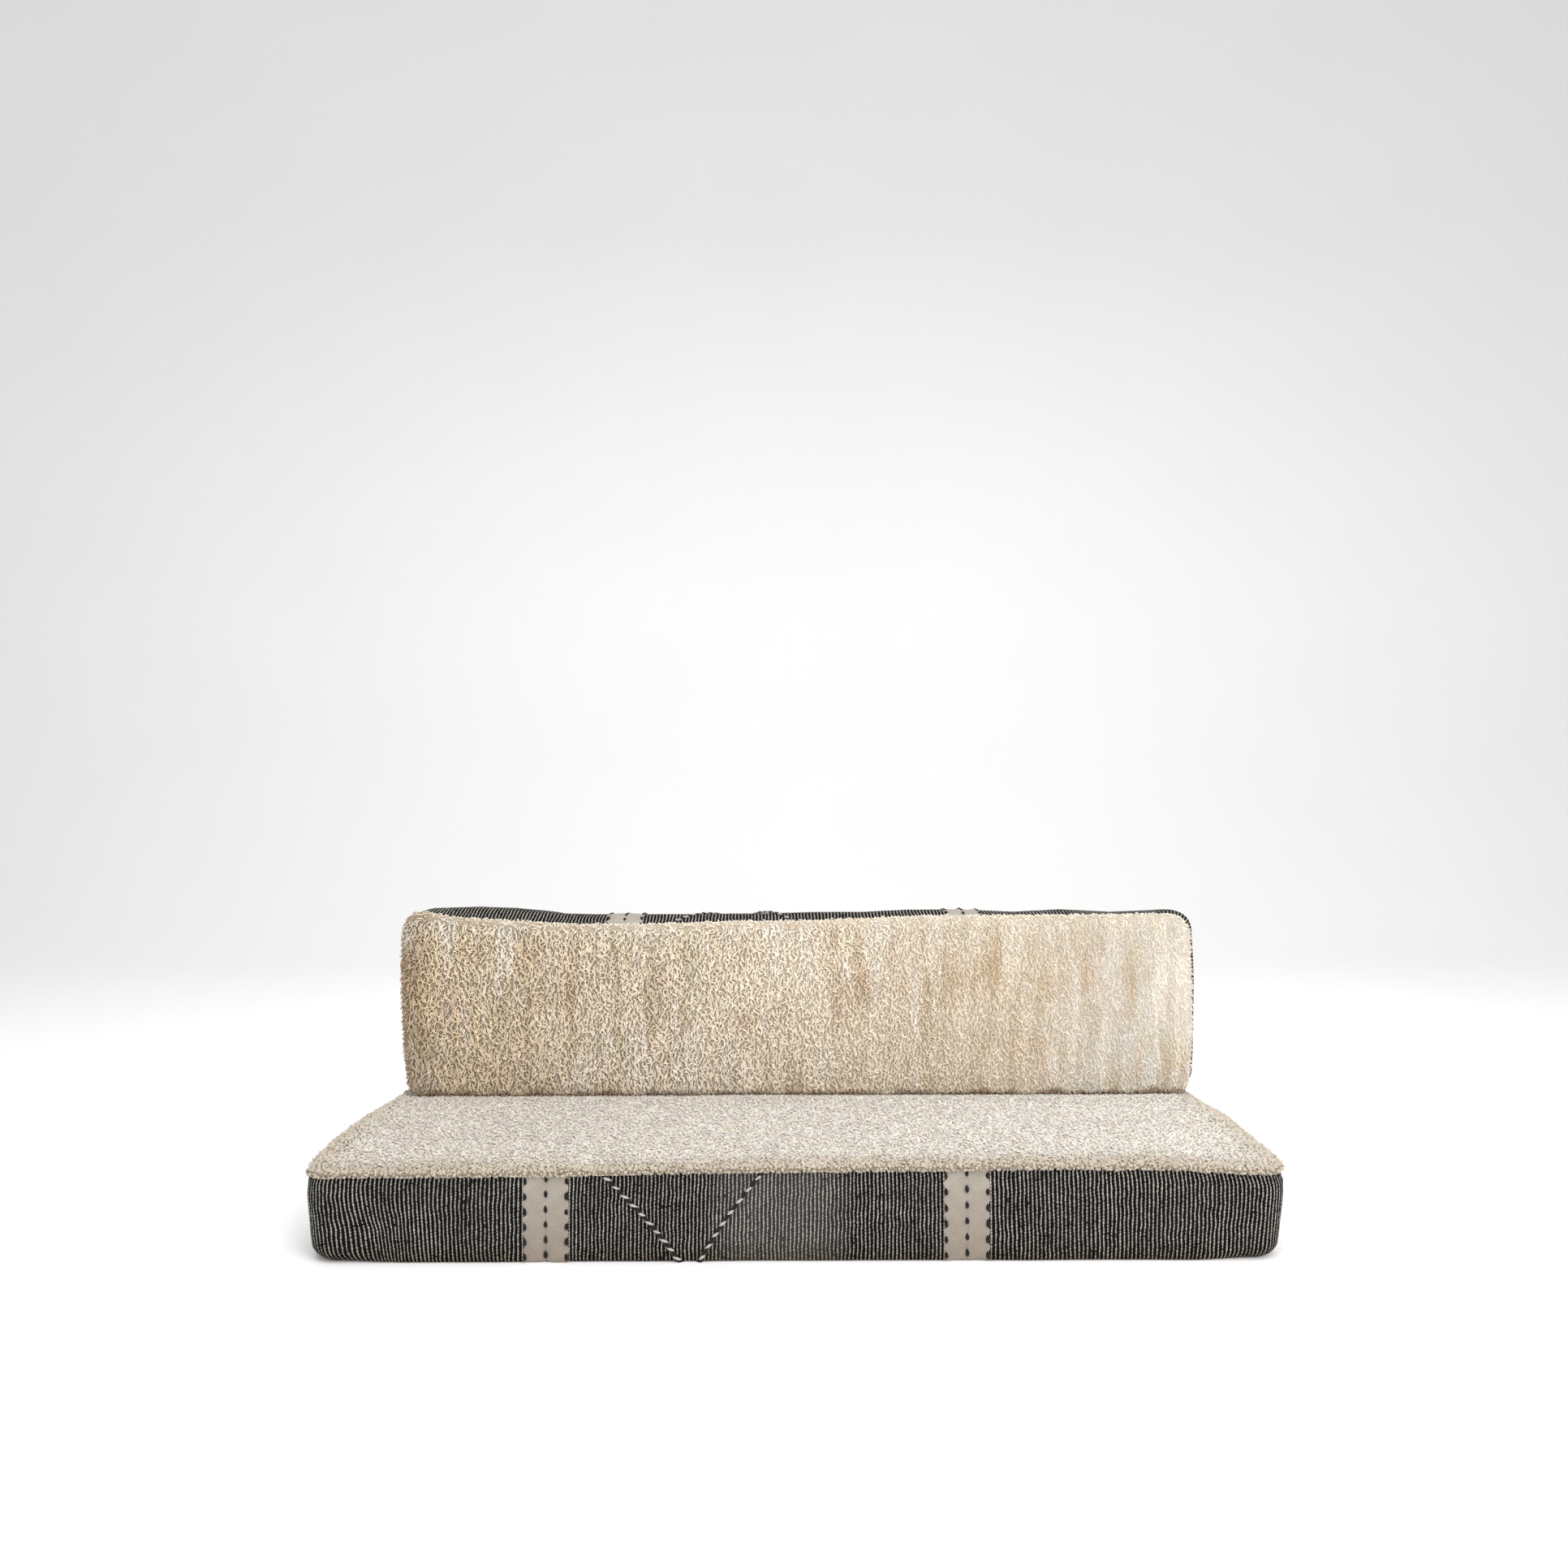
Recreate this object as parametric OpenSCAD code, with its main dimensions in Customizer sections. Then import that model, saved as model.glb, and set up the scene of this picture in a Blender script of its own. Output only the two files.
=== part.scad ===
// Low floor sofa in the Moroccan manner. A long seat cushion lies on the floor and a back
// cushion of the same length stands loose on its rear. Each cushion is a block of foam in
// wadding and a calico case, inside a removable cover with a zip. The cover has a knotted
// wool pile on its face, a flatwoven wool border round three sides and canvas where it is
// not seen. X runs along the sofa, Y to the rear and Z up. The origin is on the floor at the
// middle of the sofa.

/* [Both cushions] */
// Length of the seat and of the back, end to end
cushion_len = 2000; // [1700:10:2400]
// Radius at which the border turns under to the base
edge_r = 30; // [26:1:36]
// How far the border leans in at the seam with the pile
seam_in = 5; // [2:0.5:7]

/* [Seat cushion] */
// Depth of the seat, front to rear
seat_depth = 700; // [600:5:850]
// Height of the seat's border, floor to seam
seat_border = 183; // [165:1:220]
// Plan radius of the seat's front corners
seat_front_corner_r = 56; // [48:1:90]
// Plan radius of its rear corners
seat_rear_corner_r = 64; // [48:1:90]
// How far the seat's front is drawn in between its corners
seat_front_draw = 4; // [0:0.5:10]
// How much further out each end stands at the front than at the rear
seat_front_spread = 12; // [0:1:20]
// How far the seat's ends bow out
seat_end_bow = 5; // [0:0.5:14]
// Height of the seat's zip above the floor
seat_zip_z = 72; // [56:1:84]

/* [Back cushion] */
// Height of the back cushion, bottom to top
back_height = 450; // [380:2:520]
// Depth of the back cushion's border, rear to seam
back_border = 165; // [150:1:200]
// Radius of the back cushion's upper corners, seen from the front
back_top_corner_r = 50; // [45:1:75]
// Radius of its lower corners, which its weight squashes
back_foot_corner_r = 42; // [40:1:60]
// How far the back's top is drawn in between its corners
back_top_draw = 7; // [0:0.5:10]
// How far the back's ends bow out
back_end_bow = 6; // [0:0.5:12]
// Height of the back's zip above the cushion's own bottom
back_zip_z = 96; // [80:1:140]
// How far to the right of the seat's middle the back stands
back_shift = 10; // [-10:1:10]

/* [Pile] */
// Depth of the seat's wool pile at the seam, trodden short
seat_pile_h = 9; // [7:0.5:20]
// Depth of the back's wool pile at the seam
back_pile_h = 13; // [8:0.5:20]
// Extra rise of the seat's pile face at its middle
seat_crown = 3; // [2:0.5:12]
// Extra rise of the back's pile face at its middle
back_crown = 5; // [2:0.5:12]
// How far the pile stands out past the border
pile_overhang = 4; // [2:0.5:6]

/* [Woven border] */
// Thickness of the woven wool border
kilim_t = 5.5; // [4:0.25:8]
// Width of each white band in the border
band_w = 88; // [60:1:110]
// Centre of the seat's left band
seat_band_left = -516; // [-620:2:-480]
// Centre of the seat's right band
seat_band_right = 353; // [250:5:500]
// Centre of the back's left band
back_band_left = -445; // [-560:5:-430]
// Centre of the back's right band
back_band_right = 427; // [300:5:540]
// Radius of the twined lines that cross the border
twine_r = 2.4; // [1.5:0.1:3]

/* [Canvas and felt] */
// Thickness of the felt under the seat
felt_t = 5.5; // [4:0.25:8]
// Thickness of the canvas that holds a zip
canvas_t = 3; // [2:0.25:3]

/* [Filling] */
// Thickness of the calico case
case_t = 1; // [0.5:0.25:2]
// Thickness of the wadding round the foam
wadding_t = 22; // [18:1:30]
// Corner radius of the foam blocks
foam_corner_r = 20; // [10:1:30]

/* [Zips] */
// Distance from each end of a cushion to its zip's teeth
zip_end = 160; // [120:5:300]
// Width of both zip tapes together
tape_w = 38; // [34:1:42]
// Thickness of a zip tape
tape_t = 0.8; // [0.5:0.1:1]
// Distance from one tooth to the next in the same row
tooth_pitch = 6; // [5:0.5:8]
// Height of the teeth above the tape
tooth_h = 2.2; // [1.8:0.1:2.4]
// Length of a zip's pull, from its pin
pull_len = 34; // [26:1:45]

/* [Hidden] */

wool_white = "#ded6cb";
wool_tan = "#d8c8aa";
wool_striped = "#5a5855";
wool_band = "#cfc6ba";
wool_black = "#2b2a28";
canvas_colour = "#b9ad98";
felt_colour = "#8d857a";
calico = "#efe9dc";
polyester = "#f7f6f2";
foam_colour = "#e8dfae";
tape_colour = "#3a3835";
brass = "#b08d57";

// Steps in a corner, in the turn of an edge and along a bowed end
corner_steps = 6;
edge_steps = 4;
end_steps = 4;
// Steps along the show side: to a band, across it, to the next, across it, to the end
show_steps = [3, 1, 4, 1, 3];
// Smallest radius that an inner outline's corner shrinks to
least_corner_r = 4;
// Depth below the surface at which draws and bows have straightened out
straight_depth = 60;
// Share of the border's height at which its side starts to lean in, and its lean midway
shoulder = 0.62;
mid_lean = 0.35;

// Pile panel's edge, as [share of the overhang, share of the pile's depth]
pile_edge = [[-1, 0.35], [-0.6, 0.65], [1, 0.9], [3, 1]];
// Rings of its face, as a share of the way from the edge to the middle line
pile_rings = [0.14, 0.34, 0.6, 0.85];

// Gaps between the layers of a cushion, and under the back cushion
layer_gap = 0.3;
rest_gap = 0.3;

// Twined lines: their gap to the border, steps down the side and round the turn, sides, where
// they start below the seam and how far they turn under
twine_gap = 0.6;
twine_side_steps = 11;
twine_turn_steps = 4;
twine_sides = 6;
twine_start = 0.03;
twine_turn = 45;
// Top and foot of each, from the left band's centre
seat_twines = [[111, 274], [450, 314]];
back_twines = [[111, 258], [444, 321]];

// Slot in the canvas, beyond the teeth and across, and the tapes under it
slot_end = 12;
slot_w = 16;
tape_end = 24;
tape_gap = 2.8;
// Teeth: the spine's two edges, how far the tips pass the middle and the gap between teeth
spine_in = 1.9;
spine_out = 4.4;
tooth_tip = 1.5;
tooth_gap = 0.6;
// Slider: its plates, the post that parts the teeth and the bridge over the pull's pin
run_gap = 0.3;
slider_len = 16;
slider_w = 12.6;
slider_neck_w = 8;
plate_t = 1.5;
post_w = 2;
post_len = 3;
post_in = 0.5;
bridge_w = 3;
bridge_t = 1.2;
bridge_end = 1.2;
// Pull: its pin and the gap round it, its two arms and its tab
pin_r = 0.8;
pin_gap = 0.45;
arm_gap = 0.7;
arm_w = 1.8;
arm_len = 9;
tab_w = 9;
tab_t = 1.6;
stop_len = 2.5;
round_steps = 48;

zip_len = cushion_len - 2*zip_end;

// The cover is as deep as its thickest wall or its zip's slider, and the filling starts there
slider_depth = canvas_t + tape_t + run_gap + plate_t;
case_in = max(kilim_t, felt_t, slider_depth) + layer_gap;
wadding_in = case_in + case_t + layer_gap;
foam_in = wadding_in + wadding_t;

// Heights above the outer face of a zip tape
top_plate_z = tooth_h + run_gap;
low_plate_z = -tape_t - run_gap - plate_t;
pin_z = top_plate_z + plate_t + pin_gap + pin_r;
bridge_z = pin_z + pin_r + pin_gap;
zip_top = bridge_z + bridge_t;

// Middle of the slider when the zip is closed: its post is just past the last tooth
slider_x = zip_len + run_gap + post_len + post_in - slider_len/2;

// The pile stands out at the front and a zip's bridge at the rear: the origin is midway
mid_y = (pile_overhang - (zip_top - canvas_t))/2;
rear_y = seat_depth/2 + mid_y;

// A cushion is drawn lying on its rear or base, with its face up and the side that shows its
// bands towards -Y: [length, width, border, show and far corner radius, draw, bow, spread, bands,
// pile, crown]
seat = [cushion_len, seat_depth, seat_border, [seat_front_corner_r, seat_rear_corner_r],
    seat_front_draw, seat_end_bow, seat_front_spread, [seat_band_left, seat_band_right],
    seat_pile_h, seat_crown];
// The back's top is its show side, so standing up turns its X the other way
back = [cushion_len, back_height, back_border, [back_top_corner_r, back_foot_corner_r],
    back_top_draw, back_end_bow, 0, [-back_band_right, -back_band_left], back_pile_h, back_crown];

function half_len(c) = c[0]/2;
function half_wid(c) = c[1]/2;
function border_of(c) = c[2];
function show_corner_r(c, inset) = max(c[3][0] - inset, least_corner_r);
function far_corner_r(c, inset) = max(c[3][1] - inset, least_corner_r);
function draw_of(c) = c[4];
function bow_of(c) = c[5];
function spread_of(c) = c[6];
function bands_of(c) = c[7];
function pile_of(c) = c[8];
function crown_of(c) = c[9];
function hump(t) = sin(180*t);
function fade(inset) = max(0, 1 - inset/straight_depth);

// X of the end of the show side, where its corner starts
function show_end(c, inset) =
    half_len(c) - inset + spread_of(c)*fade(inset) - show_corner_r(c, inset);

// Height of the pile above the cushion's underside, at a distance in from its edge
function pile_top(c, inset) =
    border_of(c) + pile_of(c)
        + crown_of(c)*hump(0.5*inset/half_wid(c)/pile_rings[len(pile_rings) - 1]);

// The back stands on the seat's pile, which is highest under the back's own pile
back_mid_z = pile_top(seat, back_border + back_pile_h) + rest_gap + pile_overhang + back_height/2;
back_zip_at = back_mid_z - back_height/2 + back_zip_z;

// X of the points on the show side, between its corners
function show_x(c) =
    let (end = show_end(c, 0),
        left = bands_of(c)[0],
        right = bands_of(c)[1],
        cuts = [-end, left - band_w/2, left + band_w/2, right - band_w/2, right + band_w/2, end])
    [for (i = [0:len(show_steps) - 1]) for (k = [(i == 0 ? 1 : 0):show_steps[i] - 1])
        cuts[i] + (cuts[i + 1] - cuts[i])*k/show_steps[i]];

function sum(list, count) = count == 0 ? 0 : list[count - 1] + sum(list, count - 1);

// Outline point at the start of the show side, and at each edge of a band after it
function cut_at(k) = 2*corner_steps + end_steps + sum(show_steps, k);

function arc(x, y, r, from) =
    [for (i = [0:corner_steps])
        let (a = from + 90*i/corner_steps)
        [x + r*cos(a), y + r*sin(a)]];

// Outline from the left far corner, round the show side, to the right far corner
function outline(c, inset) =
    let (a = half_len(c) - inset,
        b = half_wid(c) - inset,
        r = show_corner_r(c, inset),
        q = far_corner_r(c, inset),
        e = show_end(c, inset),
        spread = spread_of(c)*fade(inset),
        bow = bow_of(c)*fade(inset),
        draw = draw_of(c)*fade(inset),
        stretch = e/show_end(c, 0),
        steps = [for (k = [1:end_steps - 1]) k/end_steps])
    concat(
        arc(q - a, b - q, q, 90),
        [for (t = steps) [-a - spread*t - bow*hump(t), (b - q)*(1 - t) + (r - b)*t]],
        arc(-e, r - b, r, 180),
        [for (x = show_x(c)) [x*stretch, -b + draw*hump((x*stretch + e)/e/2)]],
        arc(e, r - b, r, 270),
        [for (t = steps) [a + spread*(1 - t) + bow*hump(t), (r - b)*(1 - t) + (b - q)*t]],
        arc(a - q, b - q, q, 0));

// Side of a cushion as [inset, height], from the base rim up to the seam
function side_line(c, inset) =
    let (h = border_of(c))
    concat(
        [for (i = [0:edge_steps])
            let (a = 90*i/edge_steps)
            [edge_r - (edge_r - inset)*sin(a), edge_r - (edge_r - inset)*cos(a)]],
        [[inset, shoulder*h], [inset + mid_lean*seam_in, (1 + shoulder)/2*h], [inset + seam_in, h]]);

// Faces between rings of n points each
function skin(rings, n, closed) =
    [for (j = [0:rings - 2]) for (k = [0:(closed ? n - 1 : n - 2)])
        let (a = j*n + k, b = j*n + (k + 1)%n)
        each [[a, b, b + n], [a, b + n, a + n]]];

function reversed(faces) = [for (f = faces) [f[2], f[1], f[0]]];

// Closed body through rings of equal length, from the lowest up, with a fan at each end
module stack(rings) {
    n = len(rings[0]);
    m = len(rings);
    middles = [for (r = [rings[0], rings[m - 1]]) [0, 0, r[0][2]]];
    fans = [for (k = [0:n - 1])
        let (next = (k + 1)%n, top = (m - 1)*n)
        each [[m*n, next, k], [m*n + 1, top + k, top + next]]];
    polyhedron(concat([for (r = rings) each r], middles), reversed(concat(skin(m, n, true), fans)));
}

// Rings of a stack, from [inset, height] pairs
function rings_of(c, line) = [for (p = line) [for (q = outline(c, p[0])) [q[0], q[1], p[1]]]];

// Profile of a wall between the side of a cushion and the same side further in
function wall_profile(c, t) =
    let (inner = side_line(c, t))
    concat(side_line(c, 0), [for (i = [len(inner) - 1:-1:0]) inner[i]]);

// Wall swept along the outline between two of its points
module wall(c, from, to, t) {
    profile = wall_profile(c, t);
    n = len(profile);
    lines = [for (p = profile) outline(c, p[0])];
    points = [for (i = [from:to]) for (k = [0:n - 1]) [lines[k][i][0], lines[k][i][1], profile[k][1]]];
    last = (to - from)*n;
    caps = [for (k = [0:n/2 - 2])
        let (far = n - 1 - k, near = n - 2 - k)
        each [[k, near, k + 1], [k, far, near], [last + k, last + k + 1, last + near],
            [last + k, last + near, last + far]]];
    polyhedron(points, concat(skin(to - from + 1, n, true), caps));
}

// Wool pile on its ground weave: flat below, rounded at its edge and crowned
module pile_panel(c) {
    h = border_of(c);
    edge = [for (p = pile_edge) [p[0]*pile_overhang, h + p[1]*pile_of(c)]];
    face = [for (t = pile_rings) [t*half_wid(c), pile_top(c, t*half_wid(c))]];
    stack(rings_of(c, concat([[seam_in - pile_overhang/2, h]], edge, face)));
}

// Woven border on three sides, less its bands
module kilim_border(c) {
    for (stretch = [[0, cut_at(1)], [cut_at(2), cut_at(3)], [cut_at(4), len(outline(c, 0)) - 1]])
        wall(c, stretch[0], stretch[1], kilim_t);
}

// White bands woven into the border
module white_bands(c) {
    for (k = [1, 3])
        wall(c, cut_at(k), cut_at(k + 1), kilim_t);
}

// Straight far side of a cushion in canvas, between its corners
module far_canvas(c) {
    length = 2*(half_len(c) - far_corner_r(c, 0));
    translate([-length/2, half_wid(c), 0])
        rotate([90, 0, 90])
            linear_extrude(length) polygon([for (p = wall_profile(c, canvas_t)) [-p[0], p[1]]]);
}

// Flat cloth that closes the cushion below its rounded edge
module base_cloth(c, t) {
    linear_extrude(t) polygon(outline(c, edge_r + layer_gap));
}

// Way from the seam down to the turn, and on to the turned-under foot of a twined line
function side_drop(c) = border_of(c) - edge_r;
function foot_drop(c) = side_drop(c) + edge_r*twine_turn*PI/180;

// Steps down a twined line, as shares of the way from the seam to its foot
function twine_shares(c) =
    let (side = side_drop(c)/foot_drop(c))
    concat(
        [for (i = [0:twine_side_steps])
            twine_start + (side - twine_start)*i/twine_side_steps],
        [for (i = [1:twine_turn_steps]) side + (1 - side)*i/twine_turn_steps]);

// Point off the show side, at a share t of the way from the seam to the turned-under foot
function on_show(c, x, t, off) =
    let (h = border_of(c),
        drop = t*foot_drop(c),
        on_side = drop < h - edge_r,
        a = on_side ? 90 : 90 - (drop - (h - edge_r))/edge_r*180/PI,
        z = on_side ? h - drop : edge_r - (edge_r + off)*cos(a),
        lean = lookup(z, [for (p = side_line(c, 0)) if (p[1] >= edge_r) [p[1], p[0]]]),
        inset = on_side ? lean - off : edge_r - (edge_r + off)*sin(a),
        end = show_end(c, 0))
    [x, inset - half_wid(c) + draw_of(c)*hump((x + end)/end/2), z];

// Round yarn that crosses the border slantwise
module twined_line(c, x_top, x_foot) {
    line = [for (t = twine_shares(c))
        on_show(c, x_top + (x_foot - x_top)*t, t, twine_r + twine_gap)];
    steps = len(line) - 1;
    points = [for (i = [0:steps])
        let (ahead = line[min(i + 1, steps)] - line[max(i - 1, 0)],
            along = ahead/norm(ahead),
            across = cross(along, [1, 0, 0]),
            u = across/norm(across),
            v = cross(along, u))
        for (k = [0:twine_sides - 1])
            let (a = 360*k/twine_sides)
            line[i] + twine_r*(u*cos(a) + v*sin(a))];
    last = steps*twine_sides;
    caps = [for (k = [1:twine_sides - 2])
        each [[0, k + 1, k], [last, last + k, last + k + 1]]];
    polyhedron(points, concat(skin(steps + 1, twine_sides, true), caps));
}

module twined_lines(c, lines) {
    for (x = lines) twined_line(c, x[0], x[1]);
}

// What fills a cover, at a distance in from its outside and level with it at the seam
module filling(c, inset) {
    top = border_of(c) - layer_gap - (inset - case_in);
    stack(rings_of(c, [for (p = side_line(c, inset)) [p[0], min(p[1], top)]]));
}

module inner_case(c) {
    difference() {
        filling(c, case_in);
        filling(c, case_in + case_t);
    }
}

module foam_block(c, grow) {
    low = foam_in - grow;
    high = border_of(c) - layer_gap - (foam_in - case_in) + grow;
    a = half_len(c) - foam_in + grow - foam_corner_r;
    b = half_wid(c) - foam_in - draw_of(c) + grow - foam_corner_r;
    translate([0, 0, low])
        linear_extrude(high - low)
            polygon(concat(arc(-a, b, foam_corner_r, 90), arc(-a, -b, foam_corner_r, 180),
                arc(a, -b, foam_corner_r, 270), arc(a, b, foam_corner_r, 0)));
}

module wadding(c) {
    difference() {
        filling(c, wadding_in);
        foam_block(c, layer_gap);
    }
}

// A zip is drawn along +X from its first tooth, with +Z out of the cover
module zip_slot() {
    translate([-slot_end, -slot_w/2, -canvas_t])
        cube([zip_len + 2*slot_end, slot_w, 3*canvas_t]);
}

module both_sides() {
    children();
    mirror([0, 1, 0]) children();
}

module zip_tapes() {
    both_sides()
        translate([-tape_end, tape_gap/2, -tape_t])
            cube([zip_len + 2*tape_end, (tape_w - tape_gap)/2, tape_t]);
}

// One row of teeth with the spine that holds them
module tooth_row(start) {
    w = tooth_pitch/2 - tooth_gap;
    spine = [[0, spine_in], [0, spine_out], [zip_len, spine_out], [zip_len, spine_in]];
    teeth = [for (i = [floor(zip_len/tooth_pitch) - 1:-1:0])
        let (x = start + tooth_pitch*i)
        each [[x + w, spine_in], [x + w, -tooth_tip], [x, -tooth_tip], [x, spine_in]]];
    linear_extrude(tooth_h) polygon(concat(spine, teeth));
}

// Each row's teeth stand in the gaps of the other row
module zip_teeth() {
    tooth_row(tooth_gap/2);
    mirror([0, 1, 0]) tooth_row((tooth_gap + tooth_pitch)/2);
}

module zip_top_stops() {
    both_sides()
        translate([slider_x + slider_len/2 + run_gap, tape_gap/2, 0])
            cube([stop_len, spine_out - tape_gap/2, tooth_h]);
}

module zip_bottom_stop() {
    translate([-stop_len - run_gap, -spine_out, 0])
        cube([stop_len, 2*spine_out, tooth_h]);
}

module slider_plate(z) {
    end = slider_len/2;
    w = slider_w/2;
    neck = slider_neck_w/2;
    translate([0, 0, z])
        linear_extrude(plate_t)
            polygon([[-end, -neck], [-end/3, -w], [0.75*end, -w], [end, -neck],
                [end, neck], [0.75*end, w], [-end/3, w], [-end, neck]]);
}

// Two plates round the teeth, joined by a post, with flanges and a bridge for the pull
module zip_slider() {
    end = slider_len/2;
    height = top_plate_z + plate_t;
    flange_in = spine_out + run_gap;
    translate([slider_x, 0, 0]) {
        slider_plate(low_plate_z);
        slider_plate(top_plate_z);
        translate([end - post_in - post_len, -post_w/2, low_plate_z])
            cube([post_len, post_w, height - low_plate_z]);
        both_sides()
            translate([-end/3, flange_in, run_gap])
                cube([end, slider_w/2 - flange_in, height - run_gap]);
        for (x = [bridge_end - end, end - bridge_end - 2*bridge_t])
            translate([x, -bridge_w/2, top_plate_z])
                cube([bridge_t, bridge_w, zip_top - top_plate_z]);
        translate([bridge_end - end, -bridge_w/2, bridge_z])
            cube([slider_len - 2*bridge_end - bridge_t, bridge_w, bridge_t]);
    }
}

// Pull with its pin under the slider's bridge, lying back over the closed teeth
module zip_pull() {
    arm_y = bridge_w/2 + arm_gap;
    translate([slider_x, 0, pin_z]) {
        rotate([90, 0, 0])
            cylinder(h = 2*(arm_y + arm_w), r = pin_r, center = true, $fn = round_steps);
        both_sides()
            translate([-arm_len, arm_y, -tab_t/2])
                cube([arm_len + pin_r, arm_w, tab_t]);
        translate([0, 0, -tab_t/2])
            linear_extrude(tab_t) {
                translate([tab_w/2 - pull_len, -tab_w/2])
                    square([pull_len - arm_len - tab_w/2, tab_w]);
                translate([tab_w/2 - pull_len, 0])
                    circle(d = tab_w, $fn = round_steps);
            }
    }
}

module seat_place() {
    translate([0, mid_y, 0]) children();
}

// Stands the back cushion up, with its far side down and its face to the front
module back_place() {
    translate([back_shift, rear_y, back_mid_z]) rotate([-90, 0, 180]) children();
}

// Puts a zip on a rear face that looks towards +Y: its middle's X and its height
module on_rear(x, z) {
    translate([x - zip_len/2, rear_y - canvas_t, z]) rotate([-90, 0, 0]) children();
}

module on_seat_rear() { on_rear(0, seat_zip_z) children(); }
module on_back_rear() { on_rear(back_shift, back_zip_at) children(); }

// The part of a canvas above or below a height, less the zip's slot that comes second
module parted(z, upper) {
    far = 2*cushion_len;
    difference() {
        children(0);
        translate([-far/2, -far/2, upper ? z - far : z]) cube([far, far, far]);
        children(1);
    }
}

module seat_pile_panel() { color(wool_white) seat_place() pile_panel(seat); }
module seat_kilim_border() { color(wool_striped) seat_place() kilim_border(seat); }
module seat_white_bands() { color(wool_band) seat_place() white_bands(seat); }
module seat_twined_lines() {
    color(wool_black)
        seat_place()
            twined_lines(seat, [for (x = seat_twines) [for (along = x) seat_band_left + along]]);
}
module seat_base_felt() { color(felt_colour) seat_place() base_cloth(seat, felt_t); }
module seat_rear(upper) {
    color(canvas_colour)
        parted(seat_zip_z, upper) {
            seat_place() far_canvas(seat);
            on_seat_rear() zip_slot();
        }
}
module seat_inner_case() { color(calico) seat_place() inner_case(seat); }
module seat_wadding() { color(polyester) seat_place() wadding(seat); }
module seat_foam_core() { color(foam_colour) seat_place() foam_block(seat, 0); }
module seat_zip_tapes() { color(tape_colour) on_seat_rear() zip_tapes(); }
module seat_zip_teeth() { color(brass) on_seat_rear() zip_teeth(); }
module seat_zip_top_stops() { color(brass) on_seat_rear() zip_top_stops(); }
module seat_zip_bottom_stop() { color(brass) on_seat_rear() zip_bottom_stop(); }
module seat_zip_slider() { color(brass) on_seat_rear() zip_slider(); }
module seat_zip_pull() { color(brass) on_seat_rear() zip_pull(); }

module back_pile_panel() { color(wool_tan) back_place() pile_panel(back); }
module back_kilim_border() { color(wool_striped) back_place() kilim_border(back); }
module back_white_bands() { color(wool_band) back_place() white_bands(back); }
module back_twined_lines() {
    color(wool_black)
        back_place()
            twined_lines(back, [for (x = back_twines) [for (along = x) -back_band_left - along]]);
}
module back_bottom_canvas() { color(canvas_colour) back_place() far_canvas(back); }
module back_rear(upper) {
    color(canvas_colour)
        parted(back_zip_at, upper) {
            back_place() base_cloth(back, canvas_t);
            on_back_rear() zip_slot();
        }
}
module back_inner_case() { color(calico) back_place() inner_case(back); }
module back_wadding() { color(polyester) back_place() wadding(back); }
module back_foam_core() { color(foam_colour) back_place() foam_block(back, 0); }
module back_zip_tapes() { color(tape_colour) on_back_rear() zip_tapes(); }
module back_zip_teeth() { color(brass) on_back_rear() zip_teeth(); }
module back_zip_top_stops() { color(brass) on_back_rear() zip_top_stops(); }
module back_zip_bottom_stop() { color(brass) on_back_rear() zip_bottom_stop(); }
module back_zip_slider() { color(brass) on_back_rear() zip_slider(); }
module back_zip_pull() { color(brass) on_back_rear() zip_pull(); }

seat_pile_panel();
seat_kilim_border();
seat_white_bands();
seat_twined_lines();
seat_base_felt();
seat_rear(true);  // seat_rear_upper
seat_rear(false);  // seat_rear_lower
seat_inner_case();
seat_wadding();
seat_foam_core();
seat_zip_tapes();
seat_zip_teeth();
seat_zip_top_stops();
seat_zip_bottom_stop();
seat_zip_slider();
seat_zip_pull();
back_pile_panel();
back_kilim_border();
back_white_bands();
back_twined_lines();
back_bottom_canvas();
back_rear(true);  // back_rear_upper
back_rear(false);  // back_rear_lower
back_inner_case();
back_wadding();
back_foam_core();
back_zip_tapes();
back_zip_teeth();
back_zip_top_stops();
back_zip_bottom_stop();
back_zip_slider();
back_zip_pull();
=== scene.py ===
import math

import bpy
import numpy as np
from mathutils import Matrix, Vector


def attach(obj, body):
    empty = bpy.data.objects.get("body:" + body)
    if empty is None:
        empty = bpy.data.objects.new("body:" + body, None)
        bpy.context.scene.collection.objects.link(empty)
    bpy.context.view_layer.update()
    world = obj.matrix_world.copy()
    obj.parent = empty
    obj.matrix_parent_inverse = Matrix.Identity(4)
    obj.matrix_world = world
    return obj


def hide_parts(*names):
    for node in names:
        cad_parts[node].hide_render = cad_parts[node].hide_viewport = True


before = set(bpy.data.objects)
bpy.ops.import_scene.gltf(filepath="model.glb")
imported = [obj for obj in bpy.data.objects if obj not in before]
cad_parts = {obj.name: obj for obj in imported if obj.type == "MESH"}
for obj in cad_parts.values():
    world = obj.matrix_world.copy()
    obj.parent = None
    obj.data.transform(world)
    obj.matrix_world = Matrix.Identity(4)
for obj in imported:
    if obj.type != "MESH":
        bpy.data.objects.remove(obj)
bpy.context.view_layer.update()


# The room: a pale floor that sweeps up behind the sofa, a large soft light from the right and
# above, a weaker one from the left, and a camera at the height of someone standing in front.
camera_place = (-0.0233, -2.59, 0.982)
camera_lens_mm = 25.06
camera_roll_deg = 0.2

camera_data = bpy.data.cameras.new("camera")
camera_data.lens = camera_lens_mm
camera_data.sensor_width = 36
camera_data.clip_end = 60
camera = bpy.data.objects.new("camera", camera_data)
camera.location = camera_place
camera.rotation_euler = (math.radians(90), math.radians(camera_roll_deg), 0)
bpy.context.scene.collection.objects.link(camera)
bpy.context.scene.camera = camera
bpy.context.scene.view_settings.view_transform = "Standard"


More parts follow.
